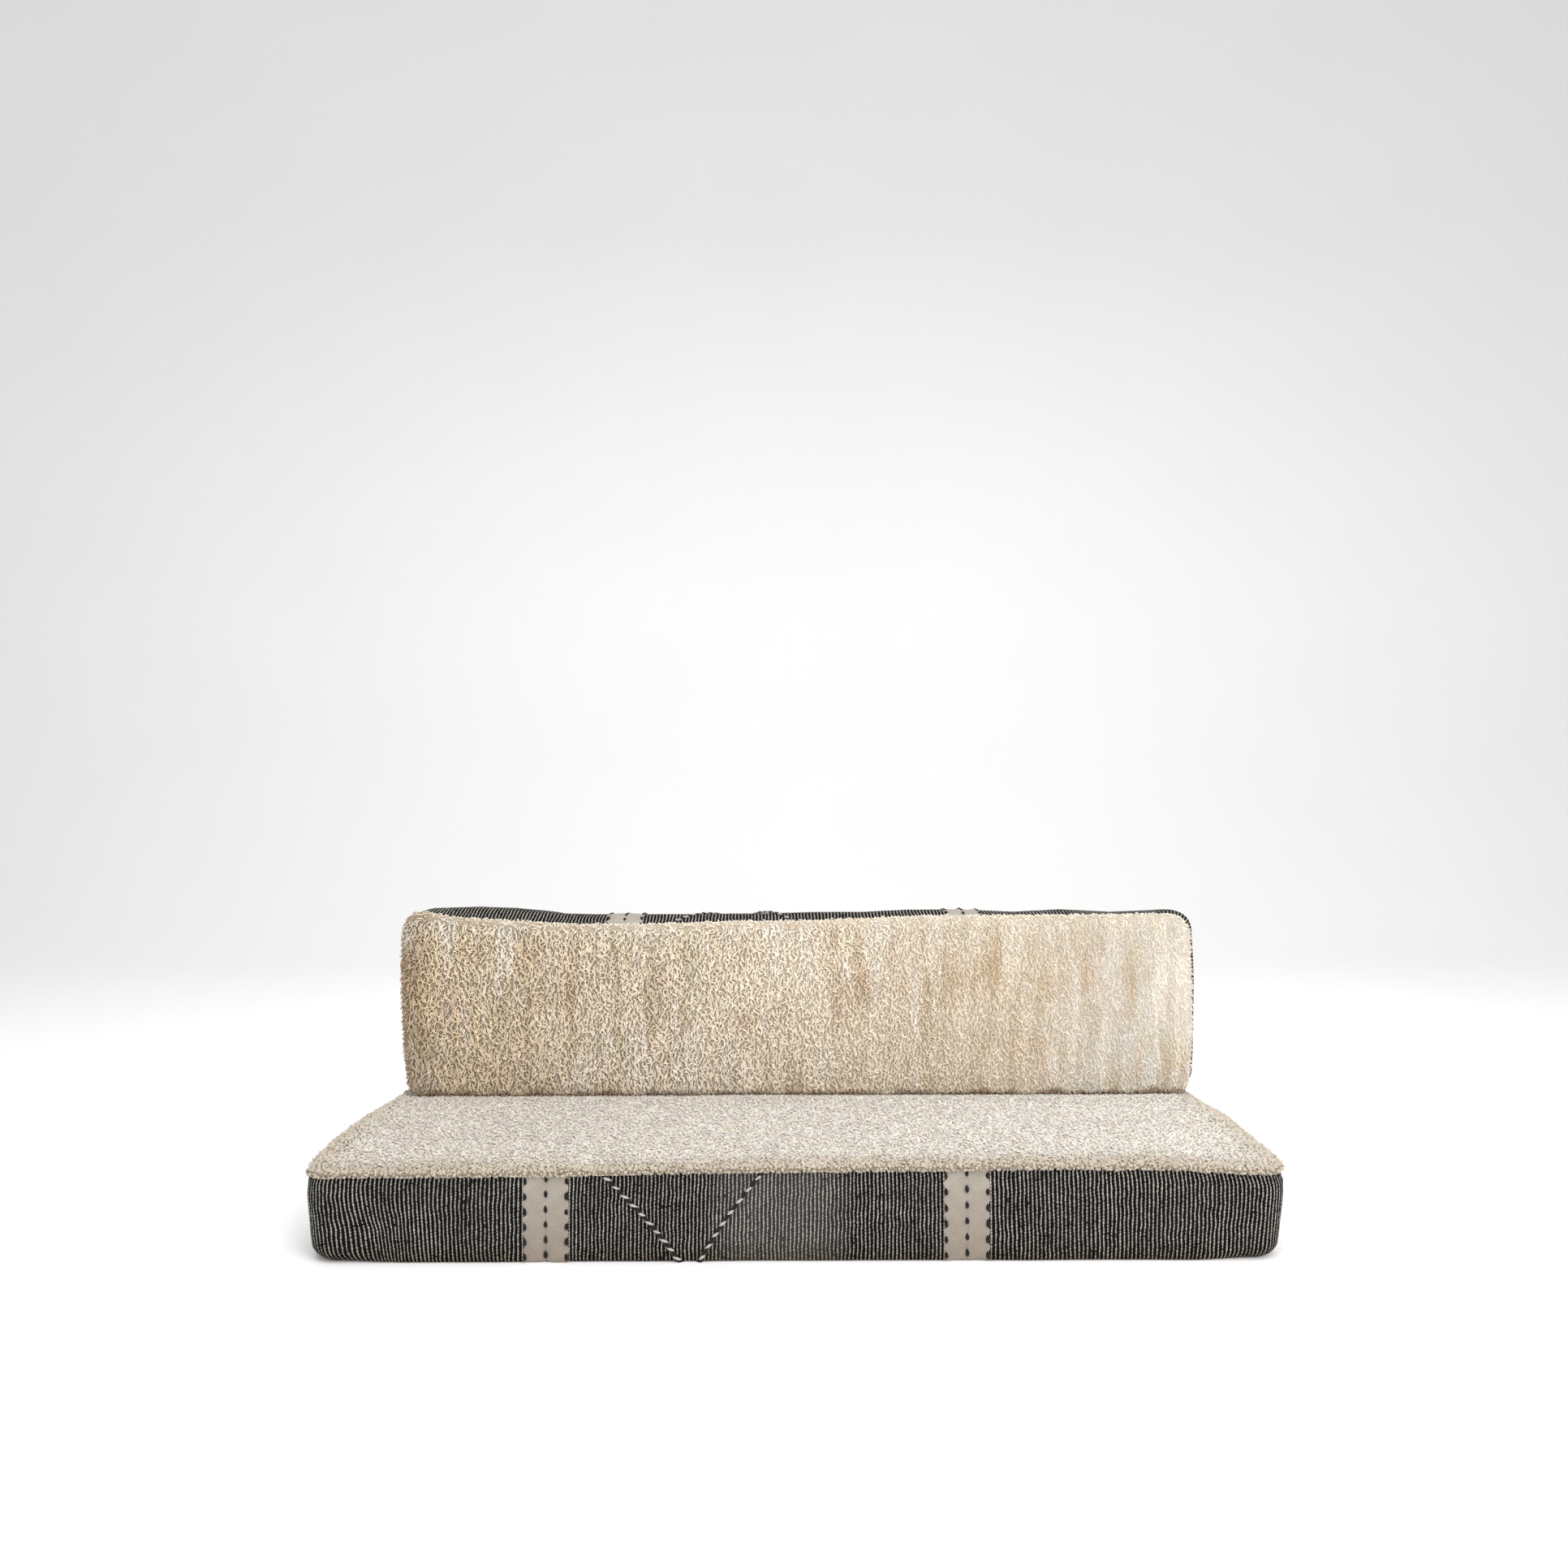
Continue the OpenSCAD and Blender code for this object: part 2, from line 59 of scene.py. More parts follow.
def put(tree, kind, settings=None, inputs=None):
    """Adds a node to a tree. An input is a number, a colour, a signal or another node's output."""
    made = tree.nodes.new(kind)
    for key, value in (settings or {}).items():
        setattr(made, key, value)
    for key, value in (inputs or {}).items():
        if isinstance(value, Signal):
            value = value.socket
        if isinstance(value, bpy.types.NodeSocket):
            tree.links.new(value, made.inputs[key])
        else:
            made.inputs[key].default_value = value
    return made


def gives(tree, kind, settings=None, inputs=None, key=0):
    """What one output of a new node gives, as a signal."""
    return Signal(tree, put(tree, kind, settings, inputs).outputs[key])


class Signal:
    """A number, vector or colour in a tree of nodes. Sums with it add the nodes that they need."""

    def __init__(self, tree, socket):
        self.tree, self.socket = tree, socket
        self.vector = socket.type in ("VECTOR", "RGBA")

    def work(self, operation, *others):
        """What an operation on this and other signals or numbers gives."""
        kind = "ShaderNodeVectorMath" if self.vector else "ShaderNodeMath"
        return gives(self.tree, kind, {"operation": operation}, dict(enumerate((self, *others))),
                     "Value" if operation == "DOT_PRODUCT" else 0)

    def __add__(self, other):
        return self.work("ADD", other)

    def __sub__(self, other):
        return self.work("SUBTRACT", other)

    def __rsub__(self, other):
        return gives(self.tree, "ShaderNodeMath", {"operation": "SUBTRACT"}, {0: other, 1: self})

    def __mul__(self, other):
        if self.vector:
            return gives(self.tree, "ShaderNodeVectorMath", {"operation": "SCALE"}, {0: self, "Scale": other})
        return self.work("MULTIPLY", other)

    def wave(self, length):
        """Sine of this number, with one whole wave to each length."""
        return (self * (2 * math.pi / length)).work("SINE")

    def parts(self):
        """The X, Y and Z of this vector."""
        split = put(self.tree, "ShaderNodeSeparateXYZ", None, {0: self})
        return [Signal(self.tree, socket) for socket in split.outputs]

    def noise(self, scale, detail=2.0, distortion=0.0, key="Fac"):
        """Noise at this place."""
        return gives(self.tree, "ShaderNodeTexNoise", None, {
            "Vector": self, "Scale": scale, "Detail": detail, "Distortion": distortion}, key)

    def cells(self, scale):
        """Distance from the middle of a cell, at this place."""
        return gives(self.tree, "ShaderNodeTexVoronoi", None, {"Vector": self, "Scale": scale}, "Distance")

    def mapped(self, low, high, bottom=0.0, top=1.0, kind="LINEAR"):
        """This number's range from low to high, turned into the range from bottom to top."""
        return gives(self.tree, "ShaderNodeMapRange", {"interpolation_type": kind}, {
            "Value": self, "From Min": low, "From Max": high, "To Min": bottom, "To Max": top})

    def eased(self, low, high, bottom=0.0, top=1.0):
        """The same, but slow near both ends."""
        return self.mapped(low, high, bottom, top, "SMOOTHSTEP")


def blend(tree, share, one, other, kind="MIX"):
    """Colour that goes from one to the other by a share."""
    return gives(tree, "ShaderNodeMix", {"data_type": "RGBA", "blend_type": kind},
                 {"Factor": share, 6: one, 7: other}, 2)


def tone(red, green, blue):
    """A linear colour from its red, green and blue on a screen, 0 to 255."""
    parts = [x / 255 for x in (red, green, blue)]
    return tuple(x / 12.92 if x <= 0.04045 else ((x + 0.055) / 1.055) ** 2.4 for x in parts) + (1,)


def new_material(name, roughness, sheen=0.0):
    """A material with its shader: (material, tree, shader)."""
    material = bpy.data.materials.new(name)
    material.use_nodes = True
    shader = material.node_tree.nodes["Principled BSDF"]
    shader.inputs["Roughness"].default_value = roughness
    shader.inputs["Specular IOR Level"].default_value = 0.25
    shader.inputs["Sheen Weight"].default_value = sheen
    shader.inputs["Sheen Roughness"].default_value = 0.45
    return material, material.node_tree, shader


def object_place(tree):
    """Place of each point in the piece's own coordinates."""
    return gives(tree, "ShaderNodeTexCoord", key="Object")


def new_mesh(name, points, faces, smooth=True):
    mesh = bpy.data.meshes.new(name)
    mesh.from_pydata(np.asarray(points).tolist(), [], faces)
    if smooth:
        mesh.polygons.foreach_set("use_smooth", [True] * len(faces))
    return mesh


def new_piece(name, mesh, *materials):
    """An object at the origin that shows a mesh."""
    piece = bpy.data.objects.new(name, mesh)
    bpy.context.scene.collection.objects.link(piece)
    for material in materials:
        mesh.materials.append(material)
    return piece


def area_light(name, place, aim, size, power, colour):
    data = bpy.data.lights.new(name, "AREA")
    data.shape = "RECTANGLE"
    data.size, data.size_y = size
    data.energy = power
    data.color = colour
    light = bpy.data.objects.new(name, data)
    light.location = place
    light.rotation_euler = (Vector(aim) - Vector(place)).to_track_quat("-Z", "Y").to_euler()
    bpy.context.scene.collection.objects.link(light)


area_light("window", (2.6, -3.4, 3.0), (0.2, 0, 0.3), (3.2, 2.4), 130, (1, 0.985, 0.965))
area_light("ceiling", (0, -0.6, 4.2), (0, 0, 0.2), (5, 4), 125, (1, 1, 1))
area_light("fill", (-3.6, -3.0, 1.6), (-0.2, 0, 0.3), (2.6, 2), 18, (0.97, 0.98, 1))

world = bpy.data.worlds.new("studio")
bpy.context.scene.world = world
world.use_nodes = True
world.node_tree.nodes["Background"].inputs["Color"].default_value = (1, 1, 1, 1)
world.node_tree.nodes["Background"].inputs["Strength"].default_value = 0.66

floor_front, floor_back, floor_half, wall_top, sweep_r = -9.0, 3.4, 9.0, 9.0, 2.2
floor_line = [(floor_front, 0.0), (floor_back, 0.0)]
floor_line += [
    (floor_back + sweep_r * math.sin(a), sweep_r * (1 - math.cos(a)))
    for a in np.linspace(0.08, math.pi / 2, 20)
]
floor_line.append((floor_back + sweep_r, wall_top))
floor_points = [(x, y, z) for y, z in floor_line for x in (-floor_half, floor_half)]
floor_faces = [(2 * i, 2 * i + 1, 2 * i + 3, 2 * i + 2) for i in range(len(floor_line) - 1)]
plaster, tree, shader = new_material("pale floor", 0.9)
mottle = object_place(tree).noise(1.3)
floor_tone = blend(tree, mottle, (0.94, 0.94, 0.94, 1), (0.97, 0.97, 0.97, 1))
tree.links.new(floor_tone.socket, shader.inputs["Base Color"])
new_piece("floor", new_mesh("floor", floor_points, floor_faces), plaster)


# Seat, striped border: a flatwoven wool cloth that runs round the front and both ends. Thick
# white cords of yarn stand up between thin black ones, and run from the seam with the pile
# down the side and under the edge. It is in three lengths, parted by two white bands.
edge_r = 0.030
seam_in = 0.005
straight_depth = 0.060
shoulder = 0.62
lean_power = 1.5
mid_y = -0.00035
seat = {
    "name": "seat",
    "length": 2.0, "width": 0.700, "border": 0.183,
    "show_r": 0.056, "far_r": 0.064,
    "draw": 0.004, "bow": 0.005, "spread": 0.012,
    "bands": (-0.516, 0.350), "band": 0.088,
    "front_fold": 0.010,
}
SEAT_SEAM = (
    (-1.03, 0.175), (-0.93, 0.179), (-0.50, 0.180), (-0.15, 0.186), (0.20, 0.1875),
    (0.45, 0.190), (0.75, 0.190), (0.90, 0.182), (1.03, 0.174),
)
SEAT_LEFT_RISE = (
    (-0.36, 0.0), (-0.30, 0.004), (-0.21, 0.015), (-0.07, 0.014), (0.03, 0.008), (0.12, 0.003), (0.2, 0.0),
)
SEAT_RIGHT_RISE = (
    (-0.36, 0.0), (-0.27, 0.009), (-0.13, 0.009), (-0.03, 0.012), (0.06, 0.003), (0.12, 0.0),
)
SEAT_LEFT_OUT = (
    (0.0, -0.008), (0.15, 0.0), (0.3, 0.004), (0.5, 0.008), (0.75, 0.0125), (0.9, 0.013), (1.0, 0.010),
)
SEAT_RIGHT_OUT = ((0.0, -0.010), (0.45, -0.0005), (0.85, 0.0085), (1.0, 0.002))
end_from, end_reach, swell_from, swell_reach = 0.6, 0.4, 0.80, 0.20


def runs_of(cushion):
    """Lengths of the outline's runs, from the left far corner round the show side to the right
    one, and then of its straight far side."""
    c = cushion
    show = 2 * (c["length"] / 2 + c["spread"] - c["show_r"])
    side = c["width"] - c["show_r"] - c["far_r"]
    quarter = math.pi / 2
    return np.array([
        c["far_r"] * quarter, side, c["show_r"] * quarter, show,
        c["show_r"] * quarter, side, c["far_r"] * quarter, c["length"] - 2 * c["far_r"],
    ])


def outline_at(cushion, along, inset):
    """Plan of a cushion: points at a way along its outline and a distance in from it."""
    c = cushion
    runs = runs_of(c)
    starts = np.concatenate([[0], np.cumsum(runs)])
    run = np.clip(np.searchsorted(starts, along, side="right") - 1, 0, 7)
    t = (along - starts[run]) / runs[run]
    fade = np.maximum(0, 1 - inset / straight_depth)
    a, b = c["length"] / 2 - inset, c["width"] / 2 - inset
    r, q = np.maximum(c["show_r"] - inset, 0.004), np.maximum(c["far_r"] - inset, 0.004)
    spread, bow, draw = c["spread"] * fade, c["bow"] * fade, c["draw"] * fade
    e = a + spread - r
    turn = math.pi / 2 * t
    hump = np.sin(math.pi * np.clip(t, 0, 1))
    side_left = (b - q) * (1 - t) + (r - b) * t
    side_right = (r - b) * (1 - t) + (b - q) * t
    x = np.choose(run, [
        q - a - q * np.sin(turn), -a - spread * t - bow * hump, -e - r * np.cos(turn),
        -e + 2 * e * t, e + r * np.sin(turn), a + spread * (1 - t) + bow * hump,
        a - q + q * np.cos(turn), (a - q) * (1 - 2 * t),
    ])
    y = np.choose(run, [
        b - q + q * np.cos(turn), side_left, r - b - r * np.sin(turn),
        -b + draw * hump, r - b - r * np.cos(turn), side_right,
        b - q + q * np.sin(turn), b + 0 * t,
    ])
    return x, y


def clipped(value, start, reach):
    """Share from 0 to 1, as a value goes from a start over a reach."""
    return np.clip((value - start) / reach, 0, 1)


def softened(share):
    """The same share, but slow near 0 and near 1."""
    return share * share * (3 - 2 * share)


def foot_r(cushion, along):
    """Radius at which the side turns under: the seat's front sits down to a tighter fold."""
    runs = runs_of(cushion)
    start, end = runs[:3].sum(), runs[:4].sum()
    front = clipped(np.minimum(along - start, end - along), 0, 0.14)
    return edge_r - (edge_r - cushion["front_fold"]) * softened(front)


def reach_of(cushion, along):
    """Way from the seam down the side and under, to where the base's cloth starts."""
    fold = foot_r(cushion, along)
    return cushion["border"] - 2 * fold + fold * math.pi / 2 + edge_r


def side_at(cushion, along, down):
    """Distance in from the outline and height, at a way down the side from the seam."""
    h = cushion["border"]
    fold = foot_r(cushion, along)
    z = h - down
    lean = seam_in * np.clip((z - shoulder * h) / ((1 - shoulder) * h), 0, 1.2) ** lean_power
    turn = np.clip((fold - z) / fold, 0, math.pi / 2)
    under = np.maximum(0, fold - z - fold * math.pi / 2)
    inset = np.where(z > fold, lean, fold * (1 - np.cos(turn)) + under)
    return inset, np.where(z > fold, z, fold * (1 - np.sin(turn)))


def settle_seat(points):
    """Stands the seat in its place and lets its seam rise and fall as stuffing and wear left it."""
    x, y, z = points[..., 0], points[..., 1] + mid_y, points[..., 2]
    seam = np.interp(x, *zip(*SEAT_SEAM))
    rise = 1 + (seam / seat["border"] - 1) * clipped(-y, -0.02, 0.33) ** 0.7
    forward = clipped(-y, -0.17, 0.52)
    at_left, at_right = (clipped(way * x, end_from, end_reach) * forward for way in (-1, 1))
    share = clipped(z, 0, seat["border"])
    full = share * clipped(np.abs(x), swell_from, swell_reach) ** 1.5
    left_rise, right_rise = (np.interp(y, *zip(*rises)) for rises in (SEAT_LEFT_RISE, SEAT_RIGHT_RISE))
    out_left, out_right = (np.interp(share, *zip(*outs)) for outs in (SEAT_LEFT_OUT, SEAT_RIGHT_OUT))
    x_out = x - out_left * at_left + out_right * at_right
    return np.stack([x_out, y, z * rise + full * np.where(x < 0, left_rise, right_rise)], axis=-1)


seat["settle"] = settle_seat


def soft_noise(x, y, seed):
    """Smooth noise from -1 to 1, with one cell for each unit of x and y."""
    table = np.random.default_rng(seed).uniform(-1, 1, (256, 256))
    i, j = np.floor(x).astype(int), np.floor(y).astype(int)
    s, t = softened(x - i), softened(y - j)
    low = table[i % 256, j % 256] * (1 - s) + table[(i + 1) % 256, j % 256] * s
    high = table[i % 256, (j + 1) % 256] * (1 - s) + table[(i + 1) % 256, (j + 1) % 256] * s
    return low * (1 - t) + high * t


def on_side(cushion, along, down):
    """Points on a cushion's side, with the way out of the cloth at each: two grids."""
    inset, z = side_at(cushion, along, down)
    x, y = outline_at(cushion, along, inset)
    points = cushion["settle"](np.stack([x, y, z], axis=-1))
    out = np.cross(np.gradient(points, axis=1), np.gradient(points, axis=0))
    return points, out / np.linalg.norm(out, axis=-1, keepdims=True)


def quads(grid):
    """Faces of a grid of point numbers, with the front where rows turn towards columns."""
    corners = [grid[:-1, :-1], grid[:-1, 1:], grid[1:, 1:], grid[1:, :-1]]
    return np.stack(corners, axis=-1).reshape(-1, 4)


def cloth_mesh(name, outer, inner, attributes=None, uv=None):
    """A closed cloth from the grid of its outside and a sparser one of its inside."""
    columns, rows = outer.shape[:2]
    few = inner.shape[1]
    o = np.arange(columns * rows).reshape(columns, rows)
    n = columns * rows + np.arange(columns * few).reshape(columns, few)
    faces = np.concatenate([
        quads(o), quads(n)[:, ::-1],
        np.stack([o[:-1, 0], o[1:, 0], n[1:, 0], n[:-1, 0]], axis=-1),
        np.stack([o[:-1, -1], n[:-1, -1], n[1:, -1], o[1:, -1]], axis=-1),
    ]).tolist()
    faces.append(list(o[0, ::-1]) + list(n[0]))
    faces.append(list(o[-1]) + list(n[-1, ::-1]))
    mesh = new_mesh(name, np.concatenate([outer.reshape(-1, 3), inner.reshape(-1, 3)]), faces)
    for key, values in (attributes or {}).items():
        layer = mesh.attributes.new(key, "FLOAT", "POINT")
        full = np.concatenate([values.reshape(-1), np.full(columns * few, 0.5)]).astype(np.float32)
        layer.data.foreach_set("value", full)
    if uv is not None:
        corner_points = np.zeros(len(mesh.loops), int)
        mesh.loops.foreach_get("vertex_index", corner_points)
        pick = np.linspace(0, rows - 1, few).astype(int)
        full = np.concatenate([uv.reshape(-1, 2), uv[:, pick].reshape(-1, 2)])
        layer = mesh.uv_layers.new(name="weave")
        layer.data.foreach_set("uv", full[corner_points].astype(np.float32).reshape(-1))
    return mesh


cord_period, middle_period = 0.0085, 0.0080
columns_a_cord = 5
cord_rise = 0.0012
cloth_t, cloth_skin = 0.0050, 0.0012
inside_rows = 8
seam_gap, floor_gap = 0.0005, 0.0002


def laid_cloth(name, points, out, rise, attributes, uv):
    """Cloth whose outside rises from a grid of points, and stays just clear of the floor."""
    outer = points + out * rise[..., None]
    few = np.linspace(0, points.shape[1] - 1, inside_rows).astype(int)
    inner = points[:, few] - out[:, few] * (cloth_t - cloth_skin)
    outer[..., 2] = np.maximum(outer[..., 2], floor_gap)
    return cloth_mesh(name, outer, inner, attributes, uv)


def striped_cloth(cushion, name, start, end, period, rows, seed):
    """Flatweave with its cords, from one way along the outline to another."""
    columns = int(round((end - start) / period)) * columns_a_cord + 1
    along = np.linspace(start, end, columns)
    u = np.repeat(along[:, None], rows, axis=1)
    v = seam_gap + np.linspace(0, 1, rows) * (reach_of(cushion, along) - seam_gap)[:, None]
    step = (np.arange(columns) + columns_a_cord // 2) % columns_a_cord
    phase = np.minimum(step, columns_a_cord - step) / columns_a_cord
    phase = np.repeat(phase[:, None], rows, axis=1)
    cord = np.repeat(((np.arange(columns) + columns_a_cord - 1) // columns_a_cord)[:, None], rows, axis=1)
    wander = 0.0013 * soft_noise(u / 0.030, v / 0.022, seed)
    wander += 0.0006 * soft_noise(cord * 7.3, v / 0.008, seed + 1)
    wander += cushion["lean"](u, v)
    edges = np.minimum(1, np.minimum(u - start, end - u) / 0.02)
    points, out = on_side(cushion, u + wander * edges, v)
    white = np.clip(1 - (phase / 0.32) ** 2, 0, 1)
    plump = 1 + 0.3 * soft_noise(cord * 3.1, v / 0.011, seed + 2)
    rise = cord_rise * white * plump + 0.0012 * soft_noise(u / 0.11, v / 0.08, seed + 3)
    return laid_cloth(name, points, out, rise, {"phase": phase, "cord": cord}, np.stack([u, v], axis=-1))


def seat_lean(along, down):
    """Near the left front corner the cords slant down to the right, as the cloth was pulled."""
    pull = np.exp(-(((along - 0.845) / 0.055) ** 2))
    skewed = 0.004 * np.sin(along * 3.1) * down / seat["border"]
    return 0.012 * pull * softened(clipped(down, 0.03, 0.11)) + skewed


seat["lean"] = seat_lean


def attribute_of(tree, key):
    return gives(tree, "ShaderNodeAttribute", {"attribute_name": key}, key="Fac")


def dress(shader, colour, strength, distance, height):
    """Gives a shader its colour, and a fine relief."""
    relief = gives(colour.tree, "ShaderNodeBump", None,
                   {"Strength": strength, "Distance": distance, "Height": height})
    colour.tree.links.new(colour.socket, shader.inputs["Base Color"])
    colour.tree.links.new(relief.socket, shader.inputs["Normal"])


def striped_wool(name, grey_from, grey_to, floor_shade_reach):
    """Cords of off-white and black yarn. The phase attribute is 0 on a white cord, 0.4 between."""
    material, tree, shader = new_material(name, 0.95)
    shader.inputs["Specular IOR Level"].default_value = 0.08
    uv = gives(tree, "ShaderNodeUVMap", {"uv_map": "weave"})
    across, down, _ = uv.parts()
    phase, cord = attribute_of(tree, "phase"), attribute_of(tree, "cord")

    def along_cord(scale, seed, detail=1.0):
        """Noise that runs along each cord, and differs from cord to cord."""
        place = gives(tree, "ShaderNodeCombineXYZ", None, {0: cord * 5.37, 1: down * scale, 2: seed})
        return place.noise(1.0, detail)

    def over_cloth(scale, low, high, top):
        """Soft patches over the whole cloth, from 0 up to a top value."""
        return uv.noise(scale).eased(low, high, top=top)

    fibres = uv.noise(800.0)
    ragged = phase + (fibres - 0.5) * 0.14
    swell = (along_cord(170, 1.7) - 0.5) * 0.26
    twist = cord * 2.3 + along_cord(90, 6.6) * 9.0
    beads = (down * (2 * math.pi / 0.0066) + twist).work("SINE")
    lost = along_cord(110, 9.1, 2.0).eased(0.48, 0.60) * over_cloth(34.0, 0.54, 0.68, 0.12)
    edge = ragged + swell + (lost - beads * 0.045)
    # Soft patches of paler yarn, and painted light and shade along the beads of each cord's twist: lighter on
    # the crests.
    patches_and_bead_light = over_cloth(15.0, 0.3, 0.7, 0.25) + beads * 0.10
    white = edge.eased(0.09, 0.20, 1.0, 0.0) * (patches_and_bead_light + 0.63)
    yarn = blend(tree, along_cord(40, 4.2), tone(196, 191, 182), tone(136, 132, 125))
    shade = blend(tree, fibres, tone(4, 4, 4), tone(24, 23, 21))
    grey = across.eased(grey_from, grey_from + 0.10) * across.eased(grey_to - 0.10, grey_to, 1.0, 0.0)
    dark = blend(tree, grey * 0.5, shade, tone(70, 70, 68))
    # Painted contact shade: the cords turn darker and browner towards the floor.
    low = down.eased(floor_shade_reach * 0.72, floor_shade_reach * 1.05, top=0.75)
    shaded_near_floor = blend(tree, low, blend(tree, white, dark, yarn), tone(214, 192, 168), "MULTIPLY")
    dress(shader, shaded_near_floor, 0.7, 0.0009, beads * white + fibres * 1.5)
    return material


def middle_of(cushion):
    """Way along the outline to the middle of the show side."""
    runs = runs_of(cushion)
    return runs[:3].sum() + runs[3] / 2


def span_of(cushion):
    """Ways along the outline: its start, the bands' edges and its end."""
    half = cushion["band"] / 2
    edges = [middle_of(cushion) + band + way * half for band in cushion["bands"] for way in (-1, 1)]
    return [0.0, *edges, runs_of(cushion)[:7].sum()]


seat_stripes = striped_wool("seat striped wool", 1.52, 1.86, 0.183)
side_rows = 44
spans = span_of(seat)
for place, start, end, period, seed in (
    ("left", spans[0], spans[1], cord_period, 11), ("middle", spans[2], spans[3], middle_period, 21),
    ("right", spans[4], spans[5], cord_period, 31),
):
    name = f"seat_border_{place}"
    piece = new_piece(name, striped_cloth(seat, name, start, end, period, side_rows, seed), seat_stripes)
    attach(piece, "seat")
    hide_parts("seat_kilim_border")
    end - start


# Back, striped border: the same cloth round the top and both ends of the back cushion, with
# its cords running from front to rear over the top. The back stands on the seat's pile, so
# what is its front side when it lies flat is its top here.
back_shift, rear_y, back_mid_z = 0.010, 0.34965, 0.423722
back = {
    "name": "back",
    "length": 2.0, "width": 0.450, "border": 0.165,
    "show_r": 0.050, "far_r": 0.042,
    "draw": 0.007, "bow": 0.006, "spread": 0.0,
    "bands": (-0.427, 0.445), "band": 0.088,
    "front_fold": edge_r,
}
BACK_CREST = (
    (-1.0, 0.000), (-0.955, 0.004), (-0.824, 0.010), (-0.736, 0.009), (-0.649, 0.001), (-0.60, -0.006),
    (-0.25, -0.007), (0.05, 0.0), (0.177, -0.002), (0.30, 0.003), (0.44, 0.0035), (0.58, -0.0055),
    (0.70, 0.001), (0.83, -0.009), (0.92, -0.0055), (1.0, -0.002),
)
BACK_FRONT_EDGE = (
    (-1.0, 0.014), (-0.975, 0.014), (-0.936, 0.011), (-0.90, 0.003), (-0.86, -0.003), (-0.82, -0.006),
    (-0.65, -0.014), (-0.55, -0.019), (-0.36, -0.018), (-0.16, -0.010), (0.0, -0.010), (0.21, -0.003),
    (0.33, 0.002), (0.60, 0.000), (1.0, -0.002),
)
crest_up, rear_drop, crest_depth, rear_depth = 0.0045, 0.016, 0.45, 0.55
end_swell, end_front, foot_in = 0.026, 0.008, 0.009


def settle_back(points):
    """Stands the back up in its place, and lets its top and right end swell as its stuffing does."""
    x, y, z = back_shift - points[..., 0], rear_y - points[..., 2], back_mid_z - points[..., 1]
    upper = clipped(z, 0.45, 0.2) ** 1.3
    forward = clipped(points[..., 2], 0, back["border"])
    crest = softened(clipped(1 - forward, 0, crest_depth))
    rise = np.interp(x, *zip(*BACK_FRONT_EDGE)) * (1 - crest)
    rise += (np.interp(x, *zip(*BACK_CREST)) + crest_up) * crest
    rise -= rear_drop * np.clip(1 - forward / rear_depth, 0, 1) ** 2
    left_foot = clipped(-z, -0.56, 0.30) * clipped(-x, end_from, end_reach) * forward
    at_right = clipped(x, 0.75, 0.25) ** 2
    swelled = end_swell * np.sin(math.pi * forward ** 1.1) - end_front * forward ** 3
    return np.stack([x + foot_in * left_foot + swelled * at_right, y, z + rise * upper], axis=-1)


def back_lean(along, down):
    return 0.003 * np.sin(along * 4.3 + 1) * down / back["border"]


back["settle"], back["lean"] = settle_back, back_lean
back_stripes = striped_wool("back striped wool", 0.9, 1.0, 0.25)
spans = span_of(back)
for place, start, end, seed in (
    ("right", spans[0], spans[1], 41), ("middle", spans[2], spans[3], 51), ("left", spans[4], spans[5], 61),
):
    name = f"back_border_{place}"
    mesh = striped_cloth(back, name, start, end, cord_period, side_rows - 4, seed)
    piece = new_piece(name, mesh, back_stripes)
    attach(piece, "back")
    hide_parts("back_kilim_border")
    end - start


# White bands: undyed wool in a diagonal weave, let into the striped border of each cushion.
# Yarn at a band's edges bulges over the stripes between the stitches that hold it, and a
# crease runs down its middle under a third row of stitches.
stitch_pitch = 0.0315
stitch_first, edge_stitch_first = 0.0080, 0.0135
scallop, scallop_in = 0.0048, 0.0015
crease = 0.0020
band_columns, band_rows = 41, 75


def band_cloth(cushion, name, centre, seed):
    """A white band, whose edges run out in a scallop between the stitches that hold them."""
    across = np.sin(np.linspace(-1, 1, band_columns) * math.pi / 2)
    down = np.linspace(0.0, reach_of(cushion, np.array([centre]))[0], band_rows)
    w, v = np.meshgrid(across, down, indexing="ij")
    bulge = scallop * (0.5 - 0.5 * np.cos(2 * math.pi * (v - edge_stitch_first) / stitch_pitch)) - scallop_in
    points, out = on_side(cushion, centre + w * (cushion["band"] / 2 + bulge), v)
    rise = 0.0012 * clipped(1 - np.abs(w), 0, 0.05) ** 0.5
    rise += 0.0007 * bulge / scallop * clipped(np.abs(w), 0.85, 0.1)
    rise -= crease * np.exp(-((w / 0.035) ** 2))
    rise += 0.0018 * soft_noise(w * 2.2, v / 0.035, seed)
    return laid_cloth(name, points, out, rise, None, np.stack([w * cushion["band"] / 2, v], axis=-1))


white_wool, tree, shader = new_material("undyed twill wool", 0.85, 0.3)
weave = gives(tree, "ShaderNodeUVMap", {"uv_map": "weave"})
across, down, _ = weave.parts()
warp, blotch = weave.noise(240.0), weave.noise(28.0)
twill = ((across - down * 0.8) * (2 * math.pi / 0.0042) + warp * 3.0).work("SINE")
ground = blend(tree, blotch, tone(146, 136, 124), tone(196, 189, 178))
# Painted shade in the grooves of the twill.
twill_groove_shade = blend(tree, twill.mapped(-1.0, 1.0, 0.70, 0.0), ground, tone(104, 95, 84))
# Lighter at the top, darker and pinker towards the foot.
lower_share = (down + blotch * 0.10).mapped(0.08, 0.22)
top_to_foot_tint = blend(tree, lower_share, (1.09, 1.10, 1.11, 1), (0.88, 0.83, 0.80, 1))
dress(shader, blend(tree, 1.0, twill_groove_shade, top_to_foot_tint, "MULTIPLY"), 0.5, 0.0006, twill + warp * 1.5)

